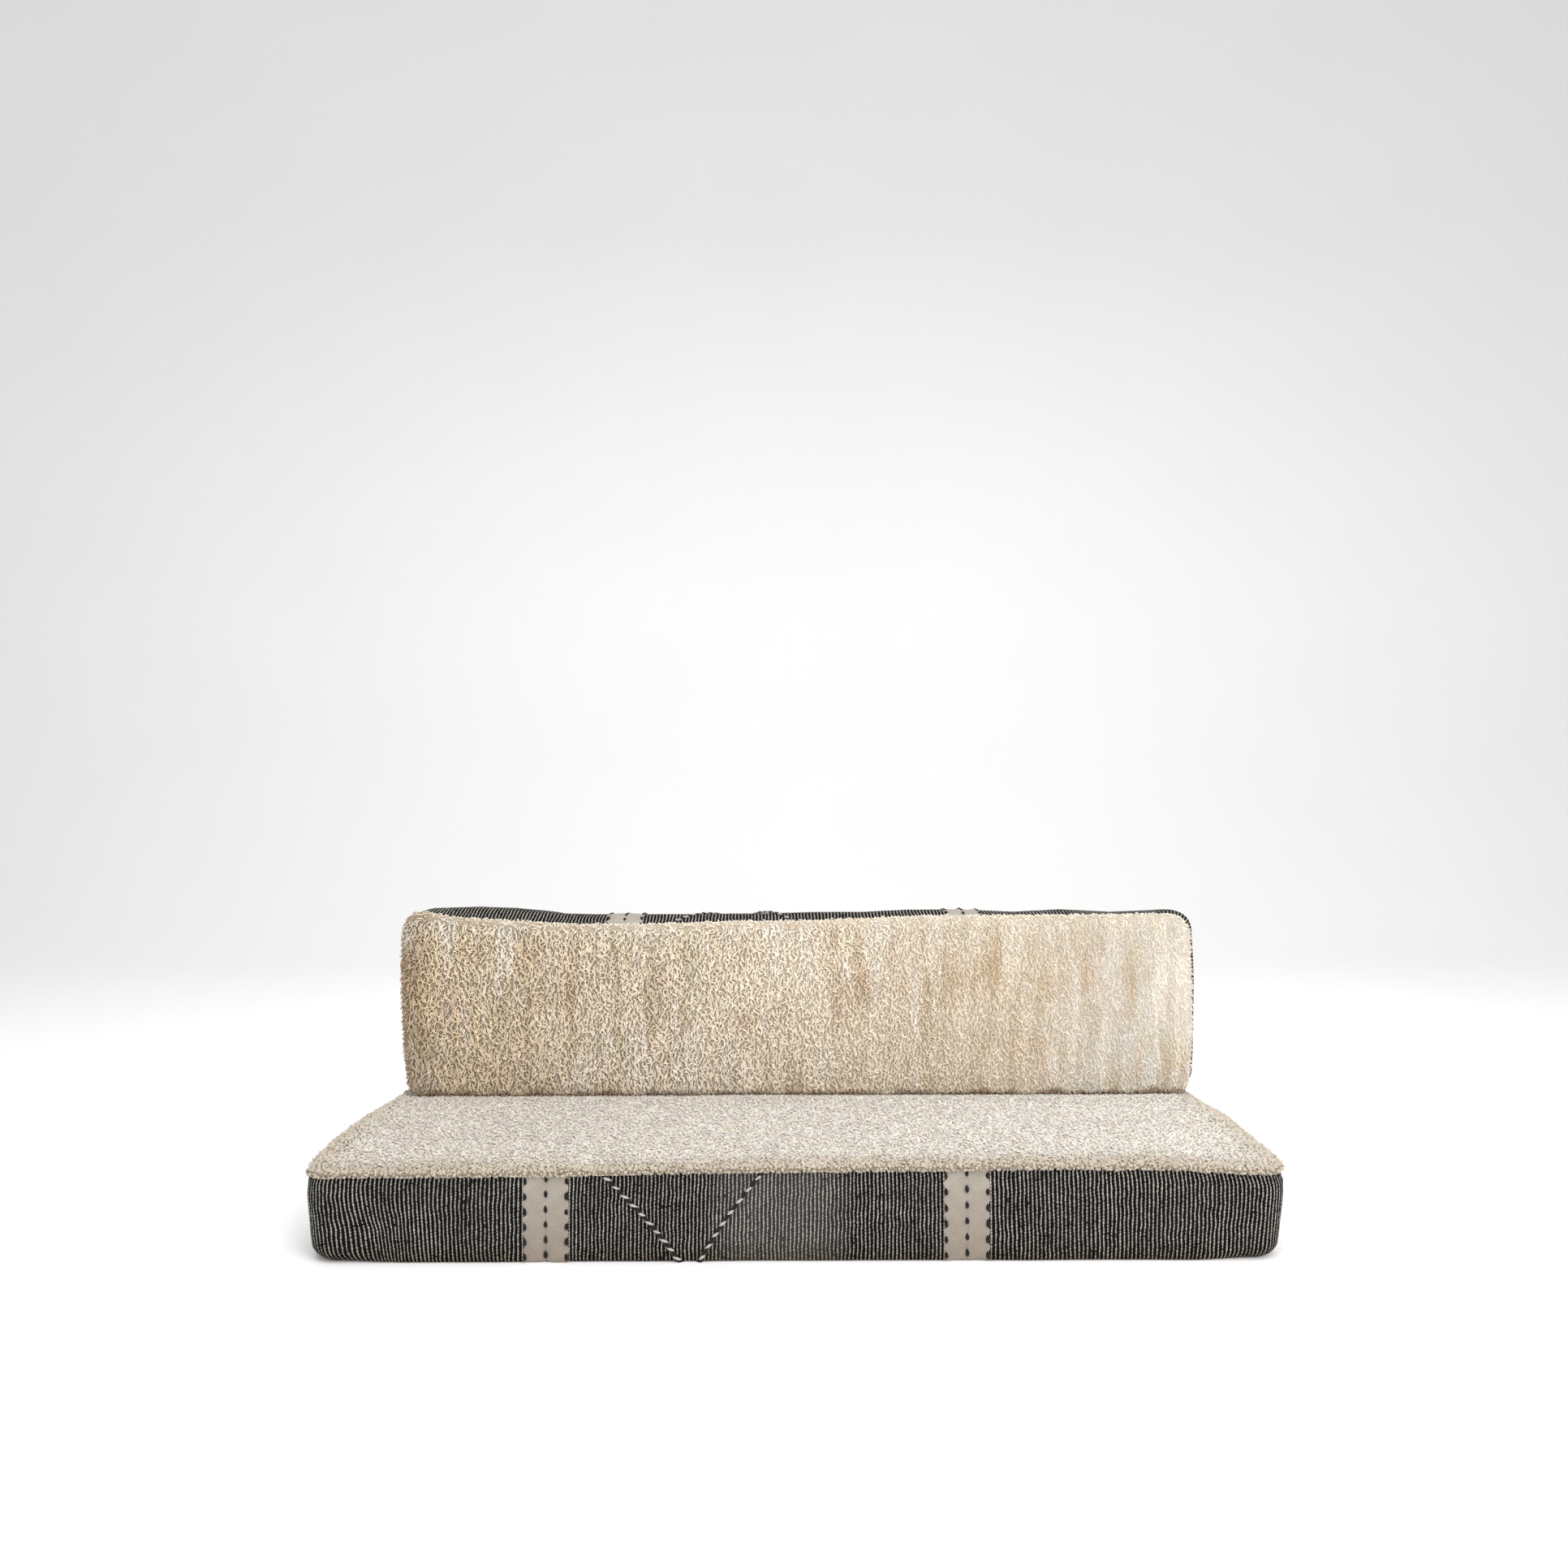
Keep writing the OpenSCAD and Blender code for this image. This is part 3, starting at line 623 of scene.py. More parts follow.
for cushion, seed in ((seat, 71), (back, 81)):
    for place, centre in zip(("left", "right") if cushion is seat else ("right", "left"), cushion["bands"]):
        name = f"{cushion['name']}_white_band_{place}"
        mesh = band_cloth(cushion, name, middle_of(cushion) + centre, seed)
        piece = new_piece(name, mesh, white_wool)
        seed += 1
        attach(piece, cushion["name"])
        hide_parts(f"{cushion['name']}_white_bands")
        cushion["band"] + 0.004
        cushion["border"] + 0.018


# Stitches: black wool yarn run down the middle and both edges of each white band, and slanting
# stitches, white and black in turn, that make the two twined lines of the V. Each is a thick
# soft yarn that swells where it lies on the cloth and narrows where it goes through.
def new_group(name, sockets):
    """A tree of geometry nodes with its inputs, and a function that gives them as signals."""
    group = bpy.data.node_groups.new(name, "GeometryNodeTree")
    for key, kind in sockets.items():
        group.interface.new_socket(key, in_out="INPUT", socket_type=f"NodeSocket{kind}")
    group.interface.new_socket("Geometry", in_out="OUTPUT", socket_type="NodeSocketGeometry")
    source = put(group, "NodeGroupInput")
    return group, lambda key: Signal(group, source.outputs[key])


def named(group, key, kind="FLOAT_VECTOR"):
    """An attribute of the points in a tree of geometry nodes."""
    return gives(group, "GeometryNodeInputNamedAttribute", {"data_type": kind}, {"Name": key})


def stitch_tree(name):
    """Lays one stitch shape on each point, turned along its way and out of the cloth."""
    group, given = new_group(name, {
        "Geometry": "Geometry", "Stitch": "Object", "Length": "Float", "Width": "Float", "Height": "Float",
        "Seed": "Int", "Yarn": "Material"})
    turn = gives(group, "FunctionNodeAxesToRotation", {"primary_axis": "Z", "secondary_axis": "X"},
                 {0: named(group, "out"), 1: named(group, "way")})
    vary = gives(group, "FunctionNodeRandomValue", {"data_type": "FLOAT_VECTOR"},
                 {0: (0.86, 0.85, 0.85), 1: (1.10, 1.12, 1.15), "Seed": given("Seed")})
    size = gives(group, "ShaderNodeCombineXYZ", None,
                 {0: given("Length"), 1: given("Width"), 2: given("Height")})
    shape = gives(group, "GeometryNodeObjectInfo", None, {"Object": given("Stitch")}, "Geometry")
    laid = gives(group, "GeometryNodeInstanceOnPoints", None, {
        "Points": given("Geometry"), "Instance": shape, "Rotation": turn,
        "Scale": size.work("MULTIPLY", vary)})
    real = gives(group, "GeometryNodeRealizeInstances", None, {0: laid})
    dyed = gives(group, "GeometryNodeSetMaterial", None, {0: real, "Material": given("Yarn")})
    put(group, "NodeGroupOutput", None, {0: dyed})
    return group


def made_by(tree, name, points, faces, attributes, values):
    """Runs a geometry tree on points or faces, and gives the plain mesh that it makes."""
    mesh = new_mesh(name, points, faces, False)
    for key, given in attributes.items():
        given = np.asarray(given, np.float32)
        kind, field = ("FLOAT_VECTOR", "vector") if given.ndim == 2 else ("FLOAT", "value")
        mesh.attributes.new(key, kind, "POINT").data.foreach_set(field, given.reshape(-1))
    base = new_piece(name, mesh)
    modifier = base.modifiers.new("made", "NODES")
    sockets = {i.name: i.identifier for i in tree.interface.items_tree if i.in_out == "INPUT"}
    modifier.node_group = tree
    for key, value in values.items():
        modifier[sockets[key]] = value
    bpy.context.view_layer.update()
    graph = bpy.context.evaluated_depsgraph_get()
    made = bpy.data.meshes.new_from_object(base.evaluated_get(graph))
    bpy.data.objects.remove(base)
    made.name = name
    return made


def leaf_stitch(name, sides, rings, blunt):
    """A stitch of unit length, width and height along X: fuller at one end, pointed at both."""
    points, faces = [(-0.5, 0, -0.15)], []
    for i in range(1, rings):
        t = i / rings
        girth = 0.5 * math.sin(math.pi * t ** blunt) ** 0.65
        for k in range(sides):
            a = 2 * math.pi * k / sides
            height = 0.25 + girth * math.sin(a) - 0.35 * (2 * t - 1) ** 2
            points.append((t - 0.5, girth * math.cos(a), height))
    points.append((0.5, 0, -0.15))
    last = len(points) - 1
    for k in range(sides):
        n = (k + 1) % sides
        faces.append((0, 1 + n, 1 + k))
        for i in range(rings - 2):
            a, b = 1 + i * sides, 1 + (i + 1) * sides
            faces.append((a + k, a + n, b + n, b + k))
        faces.append((last, last - sides + k, last - sides + n))
    return bpy.data.objects.new(name, new_mesh(name, points, faces))


def yarn_material(name, dark, light):
    """Soft plied wool: fine fibres along the yarn, and a little fuzz."""
    material, tree, shader = new_material(name, 0.9, 0.2)
    fibre = object_place(tree).noise(700.0)
    dress(shader, blend(tree, fibre, dark, light), 0.6, 0.0008, fibre)
    return material


def stitch_rows(cushion, centre):
    """Running stitches of one band: place along the outline, way down and slant of each."""
    count = int((cushion["border"] + 0.012) / stitch_pitch)
    rows = ((-0.043, edge_stitch_first), (0.0, stitch_first), (0.0425, edge_stitch_first))
    return [(centre + offset, first + i * stitch_pitch, 86) for offset, first in rows for i in range(count)]


def twined_stitches(cushion, top, foot, bow, count, steepness, white):
    """Stitches of one twined line, from its top to its foot."""
    reach = cushion["border"] - 0.002
    shift, count_here = (0.6, count) if white else (0.1, count + 1)
    shares = [(i + shift) / count for i in range(count_here)]
    tilt = steepness if white else steepness + 18
    return [(top + (foot - top) * t + bow * math.sin(math.pi * min(t, 1)), max(0.004, reach * t),
             tilt if foot > top else 180 - tilt) for t in shares]


black_yarn = yarn_material("black wool yarn", tone(10, 9, 9), tone(34, 31, 29))
white_yarn = yarn_material("white wool yarn", tone(160, 157, 150), tone(196, 192, 184))
leaf = leaf_stitch("leaf_stitch", 8, 7, 1.15)
spindle = leaf_stitch("spindle_stitch", 8, 7, 1.0)
stitch_layer = stitch_tree("stitches")
stitch_gap = 0.0003


def sew(name, cushion, laid, shape, size, yarn, seed, lift):
    """Sews stitches on a cushion's side, each from (place along, way down, slant in degrees)."""
    along, down, slant = (np.array(x, float) for x in zip(*laid))
    step = 0.0008 * np.array([[-1, -1], [1, 1]])
    patches = [on_side(cushion, u + step, v + step.T) for u, v in zip(along, down)]
    spots = np.array([p.mean((0, 1)) for p, _ in patches])
    out = np.array([o.mean((0, 1)) for _, o in patches])
    right = np.array([p[1].mean(0) - p[0].mean(0) for p, _ in patches])
    right /= np.linalg.norm(right, axis=1, keepdims=True)
    lower = np.cross(right, out)
    angle = np.radians(slant)[:, None]
    way = right * np.cos(angle) + lower * np.sin(angle)
    mesh = made_by(stitch_layer, name, spots + out * lift, [], {"out": out, "way": way}, {
        "Stitch": shape, "Length": size[0], "Width": size[1], "Height": size[2], "Seed": seed, "Yarn": yarn})
    for vertex in mesh.vertices:
        vertex.co.z = max(vertex.co.z, stitch_gap)
    piece = new_piece(name, mesh)
    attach(piece, cushion["name"])
    return piece


# Each twined line: its top and foot along the side from the middle, its bow, how many stitches
# of a colour it has, and how steeply they slant in degrees.
twines = {"seat": ((-0.402, -0.241, 0.009, 10, 22), (-0.067, -0.200, -0.009, 8, 36)),
          "back": ((0.334, 0.187, -0.004, 9, 22), (0.001, 0.124, 0.004, 8, 36))}
running_size = (0.0178, 0.0082, 0.0052)
white_size, black_size = (0.0215, 0.0056, 0.0050), (0.0240, 0.0084, 0.0058)
for cushion, seed in ((seat, 3), (back, 7)):
    name = cushion["name"]
    middle = middle_of(cushion)
    rows = sum((stitch_rows(cushion, middle + centre) for centre in cushion["bands"]), [])
    sew(f"{name}_running_stitches", cushion, rows, leaf, running_size, black_yarn, seed, 0.0011)
    for kind, size, yarn, lift in (
        ("white", white_size, white_yarn, 0.0026), ("black", black_size, black_yarn, 0.0020),
    ):
        lines = sum((twined_stitches(cushion, middle + top, middle + foot, bow, count, tilt, kind == "white")
                     for top, foot, bow, count, tilt in twines[name]), [])
        piece = sew(f"{name}_twined_{kind}", cushion, lines, spindle, size, yarn, seed + 1, lift)
        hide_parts(f"{name}_twined_lines")
        seed += 1


for shape in (leaf, spindle):
    bpy.data.objects.remove(shape)


# Pile grounds: the woven backing of each knotted pile, sewn to the border all round and swelled
# by the stuffing under it. Its edge rolls over the seam, and it lies in soft lumps and hollows
# between the places where the stuffing has packed down.
mesh_step = 0.020


def loop_ways(cushion):
    """Ways along the edge to the four sides of a grid: left, show, right and far side."""
    runs = runs_of(cushion)
    a, b, c, d = [runs[:k].sum() + runs[k] / 2 for k in (0, 2, 4, 6)]
    across, deep = int(round((c - b) / mesh_step)) + 1, int(round((b - a) / mesh_step)) + 1
    return (np.linspace(a, b, deep)[::-1], np.linspace(b, c, across),
            np.linspace(c, d, deep), np.linspace(runs.sum() + a, d, across))


def lid_at(cushion, inset):
    """Grid of plan points across a cushion, even from side to side, up to a distance from its edge."""
    full = runs_of(cushion).sum()
    left, show, right, far = [np.stack(outline_at(cushion, w % full, inset), -1) for w in loop_ways(cushion)]
    s = np.linspace(0, 1, len(show))[:, None, None]
    t = np.linspace(0, 1, len(left))[None, :, None]
    corners = (show[0] * (1 - s) + show[-1] * s) * (1 - t) + (far[0] * (1 - s) + far[-1] * s) * t
    return (show[:, None] * (1 - t) + far[:, None] * t
            + left[None] * (1 - s) + right[None] * s - corners)


edge_fade = 0.034


def pad(cushion, profile, crown):
    """Closed form: two lids joined by rings, from (inset, height) pairs from its base up to its top.

    Gives points, faces, the kind of each point (0 base, 1 side, 2 top) and its nearness to the edge."""
    below, above = (lid_at(cushion, profile[k][0]) for k in (0, -1))
    across, deep = below.shape[:2]
    count = across * deep
    grid = np.arange(count).reshape(across, deep)
    loop = np.concatenate([grid[:-1, 0], grid[-1, :-1], grid[:0:-1, -1], grid[0, :0:-1]])
    left, show, right, far = loop_ways(cushion)
    ways = np.concatenate([show[:-1], right[:-1], far[:0:-1], left[:0:-1]]) % runs_of(cushion).sum()
    points = [np.dstack([below, np.full((across, deep), profile[0][1])]).reshape(-1, 3)]
    rings = [loop]
    for inset, height in profile[1:-1]:
        x, y = outline_at(cushion, ways, inset)
        rings.append(sum(len(p) for p in points) + np.arange(len(loop)))
        points.append(np.stack([x, y, np.full(len(loop), height)], -1))
    top_start = sum(len(p) for p in points)
    s = np.sin(np.linspace(0, 1, across) * math.pi)[:, None] ** 0.35
    t = np.sin(np.linspace(0, 1, deep) * math.pi)[None] ** 0.6
    points.append(np.dstack([above, profile[-1][1] + crown * s * t]).reshape(-1, 3))
    rings.append(top_start + loop)
    faces = quads(grid).tolist() + quads(top_start + grid)[:, ::-1].tolist()
    for low, high in zip(rings[:-1], rings[1:]):
        faces += np.stack([low, np.roll(low, -1), np.roll(high, -1), high], -1).tolist()
    kind = np.ones(top_start + count)
    kind[:count], kind[top_start:] = 0, 2
    points = np.concatenate(points)
    sides = cushion["length"] / 2 - np.abs(points[:, 0]), cushion["width"] / 2 - np.abs(points[:, 1])
    near = np.exp(-((np.maximum(0, np.minimum(*sides)) / edge_fade) ** 2))
    return points, faces, kind, near


swell_frames, swell_force = 20, 4.0


def swell(name, points, faces, free, cap):
    """Blows up a closed form with Blender's cloth, no point further than its own cap."""
    scene = bpy.context.scene
    thing = new_piece(name, new_mesh(name, points, faces, False))
    held = thing.vertex_groups.new(name="held")
    held.add(np.flatnonzero(free == 0).tolist(), 1.0, "REPLACE")
    cloth = thing.modifiers.new("cloth", "CLOTH")
    cloth.settings.quality = 5
    cloth.settings.mass = 0.3
    cloth.settings.tension_stiffness = cloth.settings.compression_stiffness = 12
    cloth.settings.bending_stiffness = 0.8
    cloth.settings.use_pressure = True
    cloth.settings.uniform_pressure_force = swell_force
    cloth.settings.vertex_group_mass = "held"
    cloth.settings.effector_weights.gravity = 0
    cloth.collision_settings.use_collision = False
    cloth.point_cache.frame_start, cloth.point_cache.frame_end = 1, swell_frames
    for frame_number in range(1, swell_frames + 1):
        scene.frame_set(frame_number)
    swelled = thing.evaluated_get(bpy.context.evaluated_depsgraph_get()).to_mesh()
    moved = np.zeros(len(points) * 3, np.float32)
    swelled.vertices.foreach_get("co", moved)
    moved = moved.reshape(-1, 3) - points
    bpy.data.objects.remove(thing)
    scene.frame_set(1)
    far = np.linalg.norm(moved, axis=1, keepdims=True) + 1e-9
    return points + moved / far * cap[:, None] * (1 - np.exp(-far / cap[:, None])) * free[:, None]


edge_turn, nudge = 0.08, 0.001


def knotted_ground(cushion, rise, crown, cap, seed):
    """The pad under a pile: points before settling, faces, kind of each point and its nearness to
    the edge, and which way is outwards over the edge and upwards on the side."""
    h = cushion["border"]
    profile = [(0.012, h + 0.0006), (0.002, h + 0.0006)]
    profile += [(inset, h + share * rise) for inset, share in (
        (-0.0015, 0.25), (-0.002, 0.55), (0.001, 0.82), (0.006, 0.96), (0.014, 1.0))]
    points, faces, kind, near = pad(cushion, profile, crown)
    lumps = soft_noise(points[:, 0] / 0.16, points[:, 1] / 0.13, seed)
    lumps += 0.5 * soft_noise(points[:, 0] / 0.07, points[:, 1] / 0.08, seed + 1)
    free = (kind == 2).astype(float)
    limit = cap * (0.75 + 0.35 * lumps)
    points = swell(f"{cushion['name']}_swelling", points, faces, free, limit)
    size = np.array([cushion["length"], cushion["width"]])
    plan = points[:, :2] / (size / 2)
    away = np.sign(plan) * np.clip(1 - (1 - np.abs(plan)) * size / edge_turn, 0, 1)
    away /= np.maximum(1, np.linalg.norm(away, axis=1, keepdims=True))
    upright = (kind == 1)[:, None] * [[0, 0, 1.0]]
    away = np.column_stack([away, np.zeros(len(away))])
    still = cushion["settle"](points)
    outward, upward = ((cushion["settle"](points + nudge * way) - still) / nudge for way in (away, upright))
    return points, faces, kind, near, outward, upward


def ground_piece(cushion, points, faces, near, material):
    name = f"{cushion['name']}_pile_ground"
    mesh = new_mesh(name, points, faces)
    mesh.attributes.new("rim", "FLOAT", "POINT").data.foreach_set("value", near.astype(np.float32))
    piece = new_piece(name, mesh, material)
    fine = piece.modifiers.new("fine", "SUBSURF")
    fine.levels = fine.render_levels = 1
    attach(piece, cushion["name"])
    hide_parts(f"{cushion['name']}_pile_panel")
    return piece


seat_ground = knotted_ground(seat, 0.0055, 0.002, 0.0040, 101)
back_ground = knotted_ground(back, 0.0080, 0.004, 0.0055, 121)


def seat_pile_tone(tree, place):
    """Colour of the seat's pile over its length and depth, with painted shade along the front edge."""
    drift, cloud = place.noise(7.0, 3.0), place.noise(42.0, 3.0)
    x, y, _ = place.parts()
    base = blend(tree, x.mapped(-1.0, 1.0), tone(197, 191, 183), tone(209, 206, 200))
    pale = blend(tree, drift * 0.5, base, tone(215, 208, 200))
    soft = blend(tree, 0.18, pale, place.noise(26.0, key="Color"), "SOFT_LIGHT")
    # Painted shade between the nubs of the front edge: darker and browner there.
    front = (y + drift * 0.12).eased(-0.29, -0.20, 0.6, 0.0)
    return blend(tree, front, soft * cloud.mapped(0.3, 0.7, 0.91, 1.04), tone(168, 156, 136))


def back_pile_tone(tree, place):
    """Colour of the back's pile: tan at the left, cream at the right, in soft upright streaks, with painted
    shade at its upper right and along its foot.
    """
    x, _, z = place.parts()

    def cloud(scale_x, scale_z, seed):
        spot = gives(tree, "ShaderNodeCombineXYZ", None, {0: x * scale_x, 1: seed, 2: z * scale_z})
        return spot.noise(1.0, 3.0)

    left = x * -1.0
    edge = left + cloud(7.0, 9.0, 15.0) * 0.10
    foot = cloud(16.0, 4.0, 21.0) * 0.05 - z
    wool = tone(236, 223, 204)
    for share, colour in (
        (x.eased(0.0, 0.45), tone(222, 210, 191)),
        (x.eased(0.5, 0.85), tone(216, 211, 203)),
        (left.eased(0.3, 0.95), tone(222, 203, 174)),
        (cloud(5.5, 5.5, 0.0).eased(0.50, 0.72, top=0.50), tone(196, 170, 136)),
        (cloud(11.0, 7.0, 3.0).eased(0.52, 0.70, top=0.40), tone(208, 186, 168)),
        (cloud(10.0, 8.0, 6.0).eased(0.54, 0.70, top=0.40), tone(198, 190, 156)),
        (cloud(26.0, 3.0, 12.0).eased(0.50, 0.66, top=0.45), tone(190, 168, 134)),
        (cloud(22.0, 2.6, 9.0).eased(0.48, 0.66, top=0.65), tone(236, 228, 216)),
        # Painted shade: the upper right of the pile darker, where the light from above falls strongest.
        (x.eased(0.3, 0.85) * z.eased(0.47, 0.62, top=0.35), tone(196, 186, 170)),
        (edge.eased(0.94, 1.05, top=0.75), tone(164, 136, 100)),
        # Painted contact shadow: darker and browner along the foot, where the back stands on the seat's pile.
        (foot.eased(-0.188, -0.168, top=0.9), tone(142, 116, 88)),
    ):
        wool = blend(tree, share, wool, colour)
    return wool


def backing_material(name, colour_of, gap_shades, rim_shade_share):
    """Dense wool knots, seen between the locks, with painted shade: darker and warmer than the tips, above
    all at the left, and browner near the rim.
    """
    material, tree, shader = new_material(name, 0.95, 0.2)
    place = object_place(tree)
    # Painted shade between the locks: darkest at the left, warm all over, and brown along the rim.
    deep = place.parts()[0].mapped(-1.0, 1.0, *gap_shades)
    warm_shade = blend(tree, 1.0, colour_of(tree, place), (1.0, 0.94, 0.86, 1), "MULTIPLY")
    rim_gap_shade = blend(tree, attribute_of(tree, "rim") * rim_shade_share, warm_shade, tone(150, 130, 102))
    dress(shader, rim_gap_shade * deep, 0.7, 0.002, 1.0 - place.cells(260.0))
    return material


for cushion, ground, material in (
    (seat, seat_ground, backing_material("seat pile backing", seat_pile_tone, (0.93, 0.95), 0.8)),
    (back, back_ground, backing_material("back pile backing", back_pile_tone, (0.62, 0.93), 0.0)),
):
    piece = ground_piece(cushion, cushion["settle"](ground[0]), ground[1], ground[3], material)


# Locks of pile: hand-spun wool knotted in rows and cut, so that each lock springs up from the
# backing and bends over. The seat's are short and trodden towards the front, the back's longer
# and hanging, and a little curly.
def lock_tree(name, steps):
    """Grows locks of wool on a ground, between two places along the sofa."""
    numbers = ("Gap", "Density", "From", "To", "Girth", "Fuller", "Curl", "Order", "Flow", "Sag", "Lowest")
    group, given = new_group(name, {
        "Geometry": "Geometry", **dict.fromkeys(numbers, "Float"), "Reach": "Vector", "Spring": "Vector",
        "Seed": "Int", "Wool": "Material"})

    def store(geometry, key, value, kind="FLOAT_VECTOR", domain="POINT"):
        return gives(group, "GeometryNodeStoreNamedAttribute", {"data_type": kind, "domain": domain},
                     {0: geometry, "Name": key, "Value": value})

    place = gives(group, "GeometryNodeInputPosition")
    spread = put(group, "GeometryNodeDistributePointsOnFaces", {"distribute_method": "POISSON"}, {
        "Mesh": given("Geometry"), "Distance Min": given("Gap"), "Density Max": given("Density"),
        "Density Factor": named(group, "growth", "FLOAT"), "Seed": given("Seed")})
    x = place.parts()[0]
    outside = x.work("LESS_THAN", given("From")).work("MAXIMUM", x.work("GREATER_THAN", given("To")))
    kept = gives(group, "GeometryNodeDeleteGeometry", None, {0: spread.outputs[0], 1: outside})
    kept = store(kept, "up", spread.outputs[1])
    kept = store(kept, "root", place)
    for key, offset in (("dice", 0), ("toss", 7)):
        kept = store(kept, key, gives(group, "FunctionNodeRandomValue", {"data_type": "FLOAT_VECTOR"},
                                      {0: (0, 0, 0), 1: (1, 1, 1), "Seed": given("Seed") + offset}))
    line = gives(group, "GeometryNodeCurvePrimitiveLine", None, {0: (0, 0, 0), 1: (0, 0, 1)})
    line = gives(group, "GeometryNodeResampleCurve", None, {0: line, "Count": steps})
    grown = gives(group, "GeometryNodeInstanceOnPoints", None, {0: kept, "Instance": line})
    locks = gives(group, "GeometryNodeRealizeInstances", None, {0: grown})

    t = gives(group, "GeometryNodeSplineParameter")
    up, root = named(group, "up"), named(group, "root")
    dice = named(group, "dice").parts()
    toss = named(group, "toss") - (0.5, 0.5, 0.5)
    trodden, rim = named(group, "trodden", "FLOAT"), named(group, "rim", "FLOAT")
    order, fuller = given("Order"), given("Fuller")
    stray, root_in, arch_turn, curl_turn = 2.6, 0.0012, 0.70 * math.pi, 2.2 * math.pi

    def between(pair, share):
        low, high, _ = pair.parts()
        return low + (high - low) * share

    lie = named(group, "comb") * order + toss * ((1.0 - order) * stray)
    swirl = root.noise(24.0, key="Color") - (0.5, 0.5, 0.5)
    lie = lie + swirl * (given("Flow") * (1.0 - rim * 0.7))
    flat = (lie - up * lie.work("DOT_PRODUCT", up)).work("NORMALIZE")
    side = up.work("CROSS_PRODUCT", flat)
    rise = between(given("Spring"), dice[0]) * (1.0 - trodden * 0.85)
    shorter = (trodden * 0.5).work("MAXIMUM", rim * (fuller * 0.6))
    reach = between(given("Reach"), dice[1]) * (1.0 - shorter)
    arch = rise * (t * arch_turn).work("SINE") - root_in
    bend = reach * (1.0 - (t * (math.pi / 2)).work("COSINE"))
    turned = dice[2] * (2 * math.pi)
    wave = ((t * curl_turn + turned).work("SINE") - turned.work("SINE")) * given("Curl") * t
    fall = gives(group, "ShaderNodeCombineXYZ", None, {2: given("Sag") * (t * t) * -1.0})
    spot = root + up * arch + flat * bend + side * wave + fall
    least = gives(group, "ShaderNodeCombineXYZ", None, {0: -9.0, 1: -9.0, 2: given("Lowest")})
    locks = gives(group, "GeometryNodeSetPosition", None, {0: locks, "Position": spot.work("MAXIMUM", least)})
    taper = (1.0 - t.work("POWER", 2.5) * (0.60 - rim * 0.20)) * (rim * fuller + 1.0)
    girth = given("Girth") * taper * (dice[2] * 0.5 + 0.75)
    locks = store(locks, "tip", t, "FLOAT")
    locks = store(locks, "pick", dice[1], "FLOAT", "CURVE")
    ring = gives(group, "GeometryNodeCurvePrimitiveCircle", None, {"Resolution": 3, "Radius": 1.0})
    tubes = gives(group, "GeometryNodeCurveToMesh", None, {
        "Curve": locks, "Profile Curve": ring, "Scale": girth, "Fill Caps": True})
    for key in ("up", "root", "dice", "toss", "trodden", "growth", "comb"):
        tubes = gives(group, "GeometryNodeRemoveAttribute", None, {0: tubes, "Name": key})
    smooth = gives(group, "GeometryNodeSetShadeSmooth", None, {0: tubes})
    dyed = gives(group, "GeometryNodeSetMaterial", None, {0: smooth, "Material": given("Wool")})
    put(group, "NodeGroupOutput", None, {0: dyed})
    return group


def lock_material(name, colour_of, root_shades, varied, rim_tone, rim_share, rim_dark):
    """Wool locks with painted shade: darker towards the roots and paler at the tips, darker still at the
    roots near the rim; each a little different, with fine fibres along it.
    """
    material, tree, shader = new_material(name, 0.88, 0.3)
    shader.subsurface_method = "BURLEY"
    light_depth = 0.004
    for key, value in (("Weight", 0.6), ("Radius", (1.0, 1.0, 1.0)), ("Scale", light_depth)):
        shader.inputs[f"Subsurface {key}"].default_value = value
    place = object_place(tree)
    tip, pick, rim = (attribute_of(tree, key) for key in ("tip", "pick", "rim"))
    # Painted shade at the roots of the locks, set from the left to the right of the sofa.
    root = place.parts()[0].mapped(-1.0, 1.0, *root_shades)
    depth = tip.mapped(0.0, 0.7, root - rim * rim_dark, 1.0)
    fibre = place.noise(900.0, 1.0)
    shade = depth * (pick * varied + (1 - 0.6 * varied)) * (fibre * 0.14 + 0.93)
    wool = blend(tree, rim * rim_share, colour_of(tree, place), rim_tone)
    dress(shader, wool * shade, 0.4, 0.0006, fibre)
    return material


def grow(cushion, ground, slices, given, steps, material, values):
    """Grows a cushion's pile, in slices along it, from attributes given for the ground's points."""
    points = cushion["settle"](ground[0])
    tree = lock_tree(f"{cushion['name']} locks", steps)
    beyond = 1.2
    cuts = [-beyond] + [(-1 + 2 * k / slices) for k in range(1, slices)] + [beyond]
    for k in range(slices):
        name = f"{cushion['name']}_pile_{k + 1}"
        here = dict(values, From=cuts[k], To=cuts[k + 1], Wool=material)
        piece = new_piece(name, made_by(tree, name, points, ground[1], given, here))
        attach(piece, cushion["name"])
        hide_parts(f"{cushion['name']}_pile_panel")


def combed(ground, lie, spread):
    """Way in which the pile lies at each point: over the face, outwards near its edge, up its side."""
    kind, near, outward, upward = ground[2:]
    return np.array(lie) * (kind != 1)[:, None] + outward * (spread * near)[:, None] + upward


settled, kind, near = seat["settle"](seat_ground[0]), seat_ground[2], seat_ground[3]
under = clipped(settled[:, 1], 0.158, 0.016) * (1 - near)
